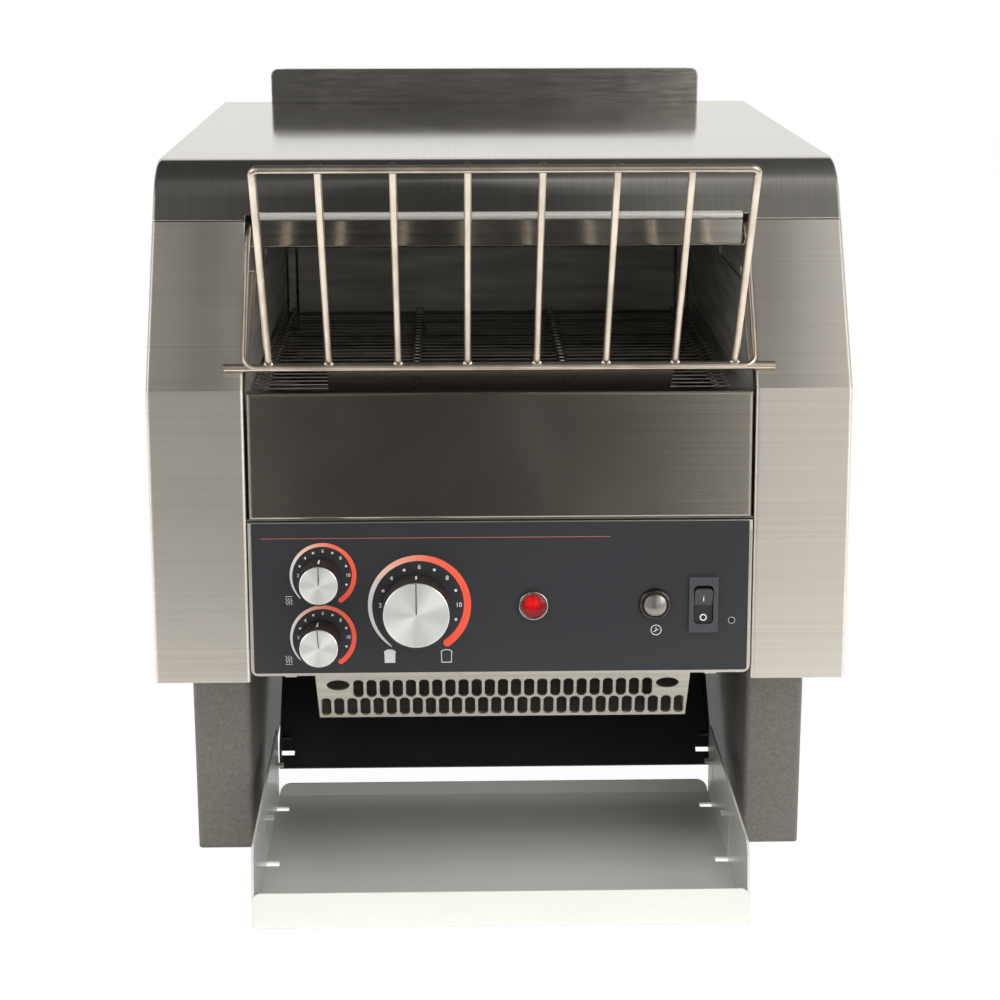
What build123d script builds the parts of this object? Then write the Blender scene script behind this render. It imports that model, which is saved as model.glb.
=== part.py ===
from build123d import *
import math
import os

os.makedirs("parts", exist_ok=True)

# Conveyor toaster. Millimetres, X to the right, Y to the back, Z up.
# The origin is on the counter, under the middle of the outline.

# ---- driving dimensions ----
body_half = 184.15            # half the width over the side covers
rear_y = 260.0                # outer face of the back
top_z = 384.0                 # flat top
foot_z = 117.2                # top of the legs, where the body starts
sheet = 1.2                   # gauge of the covers
opening_half = 133.3          # half the width between the inner rims of the side covers
rim_depth = 10.0
wall_half = 134.0             # half the width inside the oven
wall_top = 345.8

# front outline of the body, bottom to top, as (y, z)
front_outline = [(-210.0, 117.0), (-206.0, 204.5), (-201.4, 273.5), (-148.3, 354.4)]
seam_z = front_outline[3][1]  # top edge of the side covers
slant_dy = front_outline[3][0] - front_outline[2][0]
slant_dz = front_outline[3][1] - front_outline[2][1]

axle_span = 256.0
wire_pitch = axle_span / 26    # belt wires
sprocket_teeth = 12
belt_radius = wire_pitch * sprocket_teeth / (2 * math.pi)
belt_half = 129.4
belt_shift = -3.0             # the belt runs a little to the left on its shafts
belt_wire_r = 0.8
front_axis = (-173.6, 245.8)
rear_axis = (front_axis[0] + axle_span, front_axis[1])
link_rows = [-128.2, -44.9, 38.3, 121.8]
shaft_r = 5.0
running_gap = 0.05
tooth_gap = 0.2

chain_pitch = 6.35
chain_x = 156.0
chain_pin_r = 1.0
wheel_teeth = 24
pinion_teeth = 12
motor_axis = (-95.6, 155.6)

slide_slope = math.radians(40.0)
slide_foot = (-74.0, 14.0)
pan_slope = math.radians(32.0)
guard_foot = (-139.8, 70.7)
guard_foot_half = 104.0
guard_x = 2.6                 # the guard and its pan sit a little to the right
guard_lean = math.radians(15.0)

back_wall_y = 137.0
upper_element_z = 330.0
element_r = 4.0


# ---- small helpers ----
def offset_path(points, distance):
    # moves an open path sideways, to the right of its direction, with mitred corners
    normals = []
    for (a, b), (c, d) in zip(points, points[1:]):
        length = math.hypot(c - a, d - b)
        normals.append(((d - b) / length, (a - c) / length))
    moved = []
    for i, (y, z) in enumerate(points):
        n1 = normals[max(i - 1, 0)]
        n2 = normals[min(i, len(normals) - 1)]
        scale = distance / (1 + n1[0] * n2[0] + n1[1] * n2[1])
        moved.append((y + (n1[0] + n2[0]) * scale, z + (n1[1] + n2[1]) * scale))
    return moved


def front_y(z, inset=0.0):
    # the y of the front outline at height z, set back square to its faces
    path = offset_path(front_outline, inset)
    for (y1, z1), (y2, z2) in zip(path, path[1:]):
        if z <= z2 or (y2, z2) == path[-1]:
            return y1 + (y2 - y1) * (z - z1) / (z2 - z1)


def prism_x(points, x_from, x_to):
    face = Plane.YZ.offset(x_from) * make_face(Polyline(*points, close=True))
    return extrude(face, amount=x_to - x_from, dir=(1, 0, 0))


def folded_x(points, radii, x_from, x_to, gauge=sheet):
    # a sheet folded along an open path in Y and Z; the gauge lies to the right of the path
    inner_points = offset_path(points, gauge)
    inner_radii = []
    for i, radius in enumerate(radii):
        (a, b), (c, d), (e, f) = points[i:i + 3]
        turns_right = (c - a) * (f - d) - (d - b) * (e - c) < 0
        inner_radii.append(max(radius - gauge, 0.0) if turns_right else radius + gauge if radius else 0.0)
    outer = FilletPolyline(*points, radius=radii) if radii else Line(*points)
    inner = FilletPolyline(*inner_points, radius=inner_radii) if radii else Line(*inner_points)
    ends = [Line(points[0], inner_points[0]), Line(points[-1], inner_points[-1])]
    face = Plane.YZ.offset(x_from) * make_face(outer.edges() + inner.edges() + ends)
    return extrude(face, amount=x_to - x_from, dir=(1, 0, 0))


def block(x, y, z):
    # a box from three (low, high) pairs
    size = [b - a for a, b in (x, y, z)]
    centre = [(a + b) / 2 for a, b in (x, y, z)]
    return Pos(*centre) * Box(*size)


def rod(start, end, radius):
    axis = Vector(*end) - Vector(*start)
    plane = Plane(origin=start, z_dir=axis)
    return plane * Cylinder(radius, axis.length, align=(Align.CENTER, Align.CENTER, Align.MIN))


def bent_wire(points, radii, radius):
    path = FilletPolyline(*points, radius=radii)
    start = Plane(origin=path @ 0, z_dir=path % 0)
    return sweep(start * Circle(radius), path=path)


def mirrored(shape):
    return mirror(shape, about=Plane.YZ)


def slab(plane, sketch, low, high):
    # a flat piece between two heights above a plane
    return extrude((plane * Pos(0, 0, low)) * sketch, amount=high - low, dir=plane.z_dir)


parts = {}


# ---- legs ----
leg_outer = 170.5
leg_inner = 138.5
leg_front = -159.0
leg_rear = 205.0
leg_gauge = 1.5
leg_bolt_y = (-130.0, 175.0)
leg_bolt_r = 2.5


def make_leg():
    width = leg_outer - leg_inner
    length = leg_rear - leg_front
    outside = RectangleRounded(width, length, 3.0)
    inside = RectangleRounded(width - 2 * leg_gauge, length - 2 * leg_gauge, 1.5)
    middle = Pos((leg_outer + leg_inner) / 2, (leg_front + leg_rear) / 2, 0)
    leg = middle * extrude(outside, amount=foot_z)
    leg -= middle * Pos(0, 0, leg_gauge) * extrude(inside, amount=foot_z - 2 * leg_gauge)
    leg -= middle * Pos(0, 0, foot_z / 2) * extrude(RectangleRounded(width - 14, length - 120, 4), amount=foot_z)
    for y in leg_bolt_y:
        leg -= rod(((leg_outer + leg_inner) / 2, y, foot_z - 5), ((leg_outer + leg_inner) / 2, y, foot_z + 5),
                   leg_bolt_r + 0.2)
    return leg


parts["right_leg"] = make_leg()
parts["left_leg"] = mirrored(parts["right_leg"])

# ---- base plate: a frame that ties both sides together under the body ----
base_low = foot_z
base_high = foot_z + sheet
base_front = front_y(base_high, 2.5)
channel_front = -152.0        # the toast channel passes through the middle of the base plate


def make_base_plate():
    plate = block((-182.7, 182.7), (base_front, 257.0), (base_low, base_high))
    plate -= block((-wall_half, wall_half), (channel_front, back_wall_y - 2), (base_low - 1, base_high + 1))
    plate -= block((-opening_half, opening_half), (base_front - 1, channel_front - 16), (base_low - 1, base_high + 1))
    for side in (-1, 1):
        rim = sorted((side * (opening_half - 0.2), side * (opening_half + sheet + 0.2)))
        plate -= block(rim, (base_front - 1, front_y(base_high, rim_depth + 0.3)), (base_low - 1, base_high + 1))
        for y in leg_bolt_y:
            x = side * (leg_outer + leg_inner) / 2
            plate -= rod((x, y, base_low - 1), (x, y, base_high + 1), leg_bolt_r + 0.2)
    return plate


parts["base_plate"] = make_base_plate()


def make_leg_bolts():
    bolts = []
    for side in (-1, 1):
        for y in leg_bolt_y:
            x = side * (leg_outer + leg_inner) / 2
            shank = rod((x, y, base_low - 8), (x, y, base_high), leg_bolt_r)
            head = Pos(x, y, base_high) * extrude(RegularPolygon(4.4, 6), amount=3.5)
            nut = Pos(x, y, base_low - leg_gauge - 4) * extrude(RegularPolygon(4.4, 6), amount=4)
            bolts.append(shank + head + nut)
    return Compound(children=bolts)


parts["leg_bolts"] = make_leg_bolts()

# ---- side covers: side plate, front strip with three faces, rolled inner rim ----
rim_r = 2.0
corner_r = 2.0
cover_rear = rear_y - sheet - 0.2
arm_x = 132.6                 # the hanger's arms pass through a relief in this corner
relief_half = 2.0
relief_low = 344.5
hanger_r = 1.2
hook_axis = (-145.0, 352.6)   # the feed rack hangs from pins on this line
rear_screw_x = 176.0
rear_screw_z = (135.0, 230.0, 325.0)


def make_side_cover():
    far = 400.0
    outline = front_outline + [(cover_rear, seam_z), (cover_rear, front_outline[0][1])]
    cover = prism_x(outline, opening_half, body_half)
    for x, radius in ((body_half, corner_r), (opening_half, rim_r)):
        edges = [e for e in cover.edges()
                 if all(abs(v.X - x) < 0.01 and abs(v.Y - front_y(v.Z)) < 0.05 for v in e.vertices())]
        cover = fillet(edges, radius)
    for depth, x_from, x_to in ((sheet, opening_half + sheet, body_half - sheet),
                                (rim_depth, opening_half - 1, opening_half + sheet)):
        low, high = front_outline[0][1] - 10, seam_z + 5
        room = [(front_y(low, depth), low)] + offset_path(front_outline, depth)[1:3] + [(front_y(high, depth), high)]
        cover -= prism_x(room + [(far, high), (far, low)], x_from, x_to)
    inside = body_half - sheet
    cover += block((body_half - 12, inside), (cover_rear - sheet, cover_rear), (118.6, seam_z - 14))
    cover += block((inside - sheet, inside), (-120, cover_rear - 4), (seam_z - 12, seam_z + 10))
    cover -= block((opening_half - 1, arm_x + relief_half), (-200, -120), (relief_low, seam_z + 1))
    bracket = [(front_y(338, sheet), 338), (front_y(seam_z, sheet), seam_z), (hook_axis[0] + 7, seam_z),
               (hook_axis[0] + 7, 347)]
    cover += prism_x(bracket, arm_x + 4.5, arm_x + 6.0)
    cover -= rod((arm_x + 3, *hook_axis), (arm_x + 8, *hook_axis), hanger_r + running_gap)
    for z in (rear_screw_z[0], rear_screw_z[1], rear_screw_z[2]):
        cover -= rod((rear_screw_x, cover_rear - 5, z), (rear_screw_x, cover_rear + 5, z), 1.6)
    return cover



parts["right_side_cover"] = make_side_cover()
parts["left_side_cover"] = mirrored(parts["right_side_cover"])

# ---- top cover: one sheet rolled over the front, with side flanges and a hemmed front edge ----
roll_r = 38.0
hem_r = 1.8
hem_half = 130.9
relief_top = 357.5
seam_gap = 0.5
rear_flange = 12.0
top_screw_x = (-110.0, 0.0, 110.0)
top_screw_z = 377.0


def make_top_cover():
    slope = slant_dy / slant_dz
    start = (front_outline[3][0] + slope * seam_gap, seam_z + seam_gap)
    corner = (front_outline[3][0] + slope * (top_z - seam_z), top_z)
    path = [start, corner, (rear_y, top_z), (rear_y, top_z - rear_flange)]
    rim = FilletPolyline(*path, radius=[roll_r, 2.5])
    closing = Polyline(path[-1], (cover_rear, path[-1][1]), (cover_rear, start[1]), start)
    end = make_face(rim.edges() + closing.edges())
    cover = extrude(Plane.YZ.offset(-body_half) * end, amount=2 * body_half, dir=(1, 0, 0))
    side_edges = [e for e in cover.edges()
                  if all(abs(abs(v.X) - body_half) < 0.01 for v in e.vertices())
                  and e.center().Z > start[1] + 3 and e.center().Y < cover_rear - 4]
    cover = fillet(side_edges, corner_r)
    inner = offset_path(path, sheet)
    bend = FilletPolyline(*inner, radius=[roll_r - sheet, 1.3])
    below = (inner[0][0] - slope * 20, inner[0][1] - 20)
    closing = Polyline(inner[-1], (inner[-1][0], below[1]), below, inner[0])
    room = make_face(bend.edges() + closing.edges())
    half = body_half - sheet
    cover -= extrude(Plane.YZ.offset(-half) * room, amount=2 * half, dir=(1, 0, 0))
    for side in (-1, 1):
        x = sorted((side * hem_half, side * (arm_x + relief_half)))
        cover -= block(x, (-200, -130), (seam_z - 2, relief_top))
    for x in top_screw_x:
        cover -= rod((x, rear_y - 4, top_screw_z), (x, rear_y + 2, top_screw_z), 1.6)
    hem_y, hem_z = start[0] + 0.9, start[1] + hem_r - 0.2
    return cover + rod((-hem_half, hem_y, hem_z), (hem_half, hem_y, hem_z), hem_r)


parts["top_cover"] = make_top_cover()

# ---- rear cover with the fan grille, louvres and cord entry ----
fan_x, fan_z = -95.0, 205.0
cord_x, cord_z = 120.0, 150.0
rear_screws = [(x, z) for x in (-rear_screw_x, rear_screw_x) for z in rear_screw_z]


def make_rear_cover():
    low = 118.6
    high = top_z - rear_flange - 0.6
    cover = block((-body_half, body_half), (rear_y - sheet, rear_y), (low, high))
    cover = fillet(cover.edges().filter_by(Axis.Y), 2.0)
    slots = []
    for i in range(-5, 6):
        z = fan_z + 7.0 * i
        half = math.sqrt(max(40.0 ** 2 - (7.0 * i) ** 2, 0))
        if half > 8:
            slots.append(block((fan_x - half, fan_x + half), (rear_y - 3, rear_y + 1), (z - 1.75, z + 1.75)))
    for x in (-50.0, 50.0):
        for i in range(6):
            z = 300.0 + 9.0 * i
            slots.append(block((x - 38, x + 38), (rear_y - 3, rear_y + 1), (z - 2, z + 2)))
    cover -= Compound(children=slots)
    cover += block((fan_x - 1.5, fan_x + 1.5), (rear_y - sheet, rear_y), (fan_z - 42, fan_z + 42))
    cover -= rod((cord_x, rear_y - 3, cord_z), (cord_x, rear_y + 1, cord_z), 8.05)
    for x, z in rear_screws:
        cover -= rod((x, rear_y - 3, z), (x, rear_y + 1, z), 1.6)
    return cover


parts["rear_cover"] = make_rear_cover()


def make_cord_gland():
    turned = [(0, 0), (12, 0), (12, 3.6), (8, 3.6), (8, 5.0), (13, 5.0), (13, 8.2), (9, 8.2), (7.5, 14.0), (0, 14.0)]
    plane = Plane(origin=(cord_x, rear_y - 5.0, cord_z), x_dir=(1, 0, 0), z_dir=(0, 0, 1))
    profile = plane * make_face(Polyline(*turned, close=True))
    gland = revolve(profile, axis=Axis((cord_x, rear_y, cord_z), (0, 1, 0)))
    return gland - rod((cord_x, rear_y - 6, cord_z), (cord_x, rear_y + 12, cord_z), 4.3)


parts["cord_gland"] = make_cord_gland()


def screw(at, direction, radius=3.0, head=1.6, length=5.0):
    # pan head screw: shank goes in against the direction, the head stands out along it
    plane = Plane(origin=at, z_dir=direction)
    shank = plane * Pos(0, 0, -length) * Cylinder(1.5, length, align=(Align.CENTER, Align.CENTER, Align.MIN))
    cap = plane * Cylinder(radius, head, align=(Align.CENTER, Align.CENTER, Align.MIN))
    cap = fillet(cap.edges().filter_by(GeomType.CIRCLE).sort_by_distance(Vector(*at) + Vector(*direction) * 9)[:1], 0.7)
    slot = plane * Pos(0, 0, head) * Box(2 * radius - 1.4, 0.7, 0.8)
    return shank + cap - slot


def make_cover_screws():
    screws = []
    for x, z in rear_screws + [(x, top_screw_z) for x in top_screw_x]:
        screws.append(screw((x, rear_y, z), (0, 1, 0)))
    return Compound(children=screws)


parts["cover_screws"] = make_cover_screws()


# ---- upstand across the back of the top ----
upstand_half = 149.2
upstand_top = 407.5
upstand_front = 246.0


def make_rear_upstand():
    plate = block((-upstand_half, upstand_half), (upstand_front, upstand_front + sheet), (top_z, upstand_top))
    corners = [e for e in plate.edges().filter_by(Axis.Y) if e.center().Z > upstand_top - 1]
    plate = fillet(corners, 4.5)
    lip = upstand_half - 8
    plate += folded_x([(upstand_front, top_z + 12), (upstand_front, upstand_top), (upstand_front + 9, upstand_top)],
                      [1.6], -lip, lip)
    plate += block((-upstand_half + 6, upstand_half - 6), (upstand_front, 258.0), (top_z, top_z + sheet))
    return plate


parts["rear_upstand"] = make_rear_upstand()

# ---- oven: inner walls, back wall, housing over the upper elements, polished heater guard ----
wall_inset = 11.0
bush_r = 8.0
wall_seams = [(-165.0, 128.0, 264.5), (-124.0, -33.0, 318.6)]    # slots along each wall, as (y, y, z)
back_seams = [-127.0, 125.0]   # upright slots in the back wall


def make_inner_wall(side):
    front = [(y, z) for y, z in offset_path(front_outline, wall_inset) if base_high < z < wall_top]
    outline = [(front_y(base_high, wall_inset), base_high)] + front
    outline += [(front_y(wall_top, wall_inset), wall_top), (back_wall_y, wall_top), (back_wall_y, base_high)]
    low, high = sorted((side * wall_half, side * (wall_half + sheet)))
    wall = prism_x(outline, low, high)
    for y, z in (front_axis, rear_axis):
        wall -= rod((low - 1, y, z), (high + 1, y, z), bush_r)
    for y_from, y_to, z in wall_seams:
        wall -= block((low - 1, high + 1), (y_from, y_to), (z - 0.7, z + 0.7))
    tab = sorted((side * (wall_half - 1.1), side * wall_half))
    wall += block(tab, (wall_seams[1][1], wall_seams[1][1] + 1.0), (wall_seams[1][2] + 0.8, wall_top))
    if side > 0:
        wall -= rod((low - 1, *motor_axis), (high + 1, *motor_axis), 13.0)
        for y in (upper_runs[0], upper_runs[-1]):
            wall -= rod((low - 1, y, upper_element_z), (high + 1, y, upper_element_z), element_r + 0.5)
        for y in (lower_runs[0], lower_runs[-1]):
            wall -= rod((low - 1, y, front_axis[1]), (high + 1, y, front_axis[1]), element_r + 0.5)
    return wall


upper_runs = [-25.0, 10.0, 45.0, 80.0]
lower_runs = [-138.0, -88.0, -38.0, 12.0]

parts["left_inner_wall"] = make_inner_wall(-1)
parts["right_inner_wall"] = make_inner_wall(1)

slide_top_z = slide_foot[1] + math.tan(slide_slope) * (back_wall_y - slide_foot[0])


def make_back_wall():
    path = [(back_wall_y - 14, wall_top), (back_wall_y, wall_top - 14), (back_wall_y, slide_top_z + 1)]
    half = wall_half - 1.2
    wall = folded_x(path, [6], -half, half, gauge=-sheet)
    for x in back_seams:
        wall -= block((x - 0.85, x + 0.85), (back_wall_y - 12, back_wall_y + 3), (232.0, wall_top - 3))
    return wall


parts["back_wall"] = make_back_wall()

housing_front = front_y(wall_top, 2.0) + 6


def make_heater_housing():
    # a shallow tray upside down over the oven, flanged down at the sides
    roof = block((-wall_half - sheet, wall_half + sheet), (housing_front, back_wall_y - 14), (wall_top, wall_top + sheet))
    for side in (-1, 1):
        x = sorted((side * (wall_half + sheet), side * (wall_half + 2 * sheet)))
        roof += block(x, (housing_front, back_wall_y - 14), (wall_top - 9, wall_top + sheet))
    for x in (-60.0, 60.0):
        for y in (-80.0, 110.0):
            roof -= rod((x, y, wall_top - 1), (x, y, wall_top + 3), 2.1)
    return roof


parts["heater_housing"] = make_heater_housing()

guard_half = 132.9
guard_line = [(-135.3, 340.0), (-149.3, 340.0), (-147.1, 354.5)]


def make_heater_guard():
    guard = folded_x(guard_line, [1.8], -guard_half, guard_half, gauge=1.0)
    for side in (-1, 1):
        x = sorted((side * hem_half, side * (guard_half + 1)))
        guard -= block(x, (-160, -140), (343.5, seam_z + 1))
    return guard


parts["heater_guard"] = make_heater_guard()


# ---- heating elements and what carries them ----
def serpentine(runs, z, reach, exit_x):
    bend = (runs[1] - runs[0]) / 2
    side = -1
    points = [(exit_x, runs[0], z)]
    lines = []
    at = (exit_x, runs[0], z)
    for i, y in enumerate(runs):
        last = i == len(runs) - 1
        end = (exit_x if last else side * reach, y, z)
        lines.append(Line(at, end))
        if not last:
            middle = (side * (reach + bend), y + bend, z)
            at = (side * reach, runs[i + 1], z)
            lines.append(ThreePointArc(end, middle, at))
        side = -side
    path = Wire([e for line in lines for e in line.edges()])
    start = Plane(origin=points[0], z_dir=(-1, 0, 0))
    return sweep(start * Circle(element_r), path=path)


terminal_x = 146.0
parts["upper_elements"] = serpentine(upper_runs, upper_element_z, 108.0, terminal_x)
parts["lower_elements"] = serpentine(lower_runs, front_axis[1], 98.0, terminal_x)


def make_element_supports():
    hangers = []
    for x in (-70.0, 70.0):
        hanger = block((x - 0.75, x + 0.75), (upper_runs[0] - 12, upper_runs[-1] + 12),
                       (upper_element_z - 5.2, wall_top))
        for y in upper_runs:
            hanger -= rod((x - 2, y, upper_element_z), (x + 2, y, upper_element_z), element_r + 0.2)
        hangers.append(hanger)
    shelf_z = front_axis[1] - element_r
    frame = None
    for x in (-75.0, 75.0):
        rail = block((x - 5, x + 5), (lower_runs[0] - 8, lower_runs[-1] + 8), (shelf_z - 2, shelf_z))
        frame = rail if frame is None else frame + rail
    for y in (lower_runs[0] + 25, lower_runs[-1] - 25):
        frame += block((-wall_half, wall_half), (y - 3, y + 3), (shelf_z - 5, shelf_z - 2))
    return Compound(children=hangers + [frame])


parts["element_supports"] = make_element_supports()


# ---- wire belt and its sprockets ----
def belt_point(s, radius, front, rear):
    # a point and its outward direction at distance s along a belt round two equal wheels
    span = rear[0] - front[0]
    turn = math.pi * radius
    s %= 2 * (span + turn)
    if s < span:
        return front[0] + s, front[1] + radius
    s -= span
    if s < turn:
        angle = math.pi / 2 - s / radius
        return rear[0] + radius * math.cos(angle), rear[1] + radius * math.sin(angle)
    s -= turn
    if s < span:
        return rear[0] - s, rear[1] - radius
    angle = -math.pi / 2 - (s - span) / radius
    return front[0] + radius * math.cos(angle), front[1] + radius * math.sin(angle)


def racetrack(radius, front, rear):
    middle = ((front[0] + rear[0]) / 2, (front[1] + rear[1]) / 2)
    return Pos(*middle) * SlotCenterToCenter(rear[0] - front[0], 2 * radius)


belt_length = 2 * (rear_axis[0] - front_axis[0]) + 2 * math.pi * belt_radius
belt_wires = round(belt_length / wire_pitch)
link_half = 0.5               # half the depth of the side links
link_gap = 1.9                # from a sprocket's middle to the links beside it
link_wide = 1.0


def make_belt():
    band = racetrack(belt_radius + link_half, front_axis, rear_axis)
    band -= racetrack(belt_radius - link_half, front_axis, rear_axis)
    belt = None
    for row in link_rows:
        for x in (row - link_gap - link_wide, row + link_gap):
            strip = extrude(Plane.YZ.offset(x) * band, amount=link_wide, dir=(1, 0, 0))
            belt = strip if belt is None else belt + strip
    wires = []
    for k in range(belt_wires):
        y, z = belt_point(k * belt_length / belt_wires, belt_radius, front_axis, rear_axis)
        wires.append(rod((belt_shift - belt_half, y, z), (belt_shift + belt_half, y, z), belt_wire_r))
    return belt.fuse(*wires)


parts["conveyor_belt"] = make_belt()


def toothed_face(teeth, root, tip, root_half, tip_half, phase):
    # angles in degrees; a tooth stands at phase and every pitch after it
    points = []
    for k in range(teeth):
        middle = phase + 360.0 * k / teeth
        for radius, offset in ((root, -root_half), (tip, -tip_half), (tip, tip_half), (root, root_half)):
            angle = math.radians(middle + offset)
            points.append((radius * math.cos(angle), radius * math.sin(angle)))
    return make_face(Polyline(*points, close=True))


def make_belt_sprockets(axis):
    step = 360.0 / sprocket_teeth
    # the belt is fixed, so the teeth stop just inside its wires and can turn past them
    tip = belt_radius - belt_wire_r - tooth_gap
    outline = toothed_face(sprocket_teeth, tip - 2.8, tip, 0.26 * step, 0.12 * step, 90 + step / 2)
    outline -= Circle(shaft_r)
    hub = Circle(9.0) - Circle(shaft_r)
    sprockets = []
    for row in link_rows:
        wheel = extrude(Plane.YZ.offset(row - 1.5) * Pos(*axis) * outline, amount=3.0, dir=(1, 0, 0))
        wheel += extrude(Plane.YZ.offset(row - 4.0) * Pos(*axis) * hub, amount=8.0, dir=(1, 0, 0))
        sprockets.append(wheel)
    return Compound(children=sprockets)


parts["front_sprockets"] = make_belt_sprockets(front_axis)
parts["rear_sprockets"] = make_belt_sprockets(rear_axis)
parts["front_shaft"] = rod((-141, *front_axis), (141, *front_axis), shaft_r)
parts["rear_shaft"] = rod((-141, *rear_axis), (chain_x + 8, *rear_axis), shaft_r)


def make_bearings():
    bushes = []
    for y, z in (front_axis, rear_axis):
        for side in (-1, 1):
            inner = side * (wall_half - 0.4)
            face = side * (wall_half + sheet)
            outer = side * (wall_half + sheet + 2.5)
            bush = rod((inner, y, z), (outer, y, z), bush_r) + rod((face, y, z), (outer, y, z), 12.0)
            bushes.append(bush - rod((inner - side, y, z), (outer + side, y, z), shaft_r + running_gap))
    return Compound(children=bushes)


parts["shaft_bearings"] = make_bearings()

# ---- drive: gearmotor, pinion, chain, chain wheel ----
wheel_r = chain_pitch / (2 * math.sin(math.pi / wheel_teeth))
pinion_r = chain_pitch / (2 * math.sin(math.pi / pinion_teeth))
drive_dy = rear_axis[0] - motor_axis[0]
drive_dz = rear_axis[1] - motor_axis[1]
drive_distance = math.hypot(drive_dy, drive_dz)
drive_angle = math.atan2(drive_dz, drive_dy)
wrap_lean = math.asin((wheel_r - pinion_r) / drive_distance)
chain_straight = drive_distance * math.cos(wrap_lean)
chain_length = (2 * chain_straight + wheel_r * (math.pi + 2 * wrap_lean) + pinion_r * (math.pi - 2 * wrap_lean))
chain_links = round(chain_length / chain_pitch)
top_normal = drive_angle + math.pi / 2 + wrap_lean    # both tangent points on the upper straight lie this way


def chain_point(s):
    # distance s from the pinion's upper tangent point, along the upper straight and round the wheel
    s %= chain_length
    if s < chain_straight:
        along = top_normal - math.pi / 2
        y = motor_axis[0] + pinion_r * math.cos(top_normal) + s * math.cos(along)
        z = motor_axis[1] + pinion_r * math.sin(top_normal) + s * math.sin(along)
        return y, z
    s -= chain_straight
    wheel_wrap = wheel_r * (math.pi + 2 * wrap_lean)
    if s < wheel_wrap:
        angle = top_normal - s / wheel_r
        return rear_axis[0] + wheel_r * math.cos(angle), rear_axis[1] + wheel_r * math.sin(angle)
    s -= wheel_wrap
    bottom_normal = top_normal - math.pi - 2 * wrap_lean
    if s < chain_straight:
        along = bottom_normal - math.pi / 2
        y = rear_axis[0] + wheel_r * math.cos(bottom_normal) + s * math.cos(along)
        z = rear_axis[1] + wheel_r * math.sin(bottom_normal) + s * math.sin(along)
        return y, z
    angle = bottom_normal - (s - chain_straight) / pinion_r
    return motor_axis[0] + pinion_r * math.cos(angle), motor_axis[1] + pinion_r * math.sin(angle)


def chain_loop(offset):
    # the closed outline of the chain's path, moved outwards by the offset
    def at(centre, radius, angle):
        return centre[0] + radius * math.cos(angle), centre[1] + radius * math.sin(angle)
    bottom_normal = top_normal - math.pi - 2 * wrap_lean
    p, w = pinion_r + offset, wheel_r + offset
    wheel_middle = (top_normal + bottom_normal) / 2
    lines = [
        Line(at(motor_axis, p, top_normal), at(rear_axis, w, top_normal)),
        ThreePointArc(at(rear_axis, w, top_normal), at(rear_axis, w, wheel_middle), at(rear_axis, w, bottom_normal)),
        Line(at(rear_axis, w, bottom_normal), at(motor_axis, p, bottom_normal)),
        ThreePointArc(at(motor_axis, p, bottom_normal), at(motor_axis, p, wheel_middle + math.pi),
                      at(motor_axis, p, top_normal)),
    ]
    return make_face([e for line in lines for e in line.edges()])


link_step = chain_length / chain_links
plate_offset = 2.2            # the chain's side plates stand this far each side of its middle


def make_chain():
    band = chain_loop(2.4) - chain_loop(-2.4)
    chain = None
    for x in (chain_x - plate_offset - 0.8, chain_x + plate_offset):
        plate = extrude(Plane.YZ.offset(x) * band, amount=0.8, dir=(1, 0, 0))
        chain = plate if chain is None else chain + plate
    pins = []
    for k in range(chain_links):
        y, z = chain_point(k * link_step)
        pins.append(rod((chain_x - plate_offset - 0.8, y, z), (chain_x + plate_offset + 0.8, y, z), chain_pin_r))
    return chain.fuse(*pins)


parts["drive_chain"] = make_chain()


def chain_wheel(centre, teeth, radius, phase, bore, hub_radius):
    step = 360.0 / teeth
    tip = radius - chain_pin_r - tooth_gap
    outline = toothed_face(teeth, tip - 2.0, tip, 0.24 * step, 0.10 * step, phase)
    wheel = extrude(Plane.YZ.offset(chain_x - 1.25) * Pos(*centre) * outline, amount=2.5, dir=(1, 0, 0))
    wheel += rod((chain_x, *centre), (chain_x + 7, *centre), hub_radius)
    if bore:
        wheel -= rod((chain_x - 5, *centre), (chain_x + 9, *centre), bore)
    return wheel


# a pin of the chain sits on each wheel just past its tangent point, and a tooth half a pitch from the pin
pins_to_wheel = math.ceil(chain_straight / link_step)
wheel_pin = math.degrees(top_normal - (pins_to_wheel * link_step - chain_straight) / wheel_r)
pinion_pin = math.degrees(top_normal)
parts["chain_wheel"] = chain_wheel(rear_axis, wheel_teeth, wheel_r, wheel_pin + 180.0 / wheel_teeth, shaft_r, 9.0)


def make_motor_pinion():
    pinion = chain_wheel(motor_axis, pinion_teeth, pinion_r, pinion_pin + 180.0 / pinion_teeth, 0, 6.5)
    return pinion + rod((112, *motor_axis), (chain_x + 1, *motor_axis), 4.0)


parts["motor_pinion"] = make_motor_pinion()


def make_gearmotor():
    y, z = motor_axis
    gearbox = block((88, wall_half), (y - 28, y + 28), (z - 28, z + 28))
    gearbox = fillet(gearbox.edges().filter_by(Axis.X), 5.0)
    motor = gearbox + rod((14, y, z), (88, y, z), 24.0)
    motor += rod((wall_half, y, z), (wall_half + 5, y, z), 12.6)
    return motor - rod((110, y, z), (wall_half + 8, y, z), 4.0 + running_gap)


parts["gearmotor"] = make_gearmotor()

# ---- shelf under the crumb tray, sloping pan and perforated guard around the control space ----
shelf_low = 204.0
shelf_rear = 72.0


def pan_z(y):
    return guard_foot[1] + math.tan(pan_slope) * (y - guard_foot[0])


def make_crumb_shelf():
    front = front_y(shelf_low, 3.0)
    shelf = block((-opening_half, opening_half), (front, shelf_rear), (shelf_low, shelf_low + 1.0))
    shelf += block((-opening_half, opening_half), (shelf_rear - 1, shelf_rear), (shelf_low - 7, shelf_low))
    for side in (-1, 1):
        x = sorted((side * (opening_half - 1.0), side * opening_half))
        shelf += block(x, (front + 9, shelf_rear), (shelf_low, shelf_low + 15.0))
    return shelf


parts["crumb_shelf"] = make_crumb_shelf()


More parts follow.
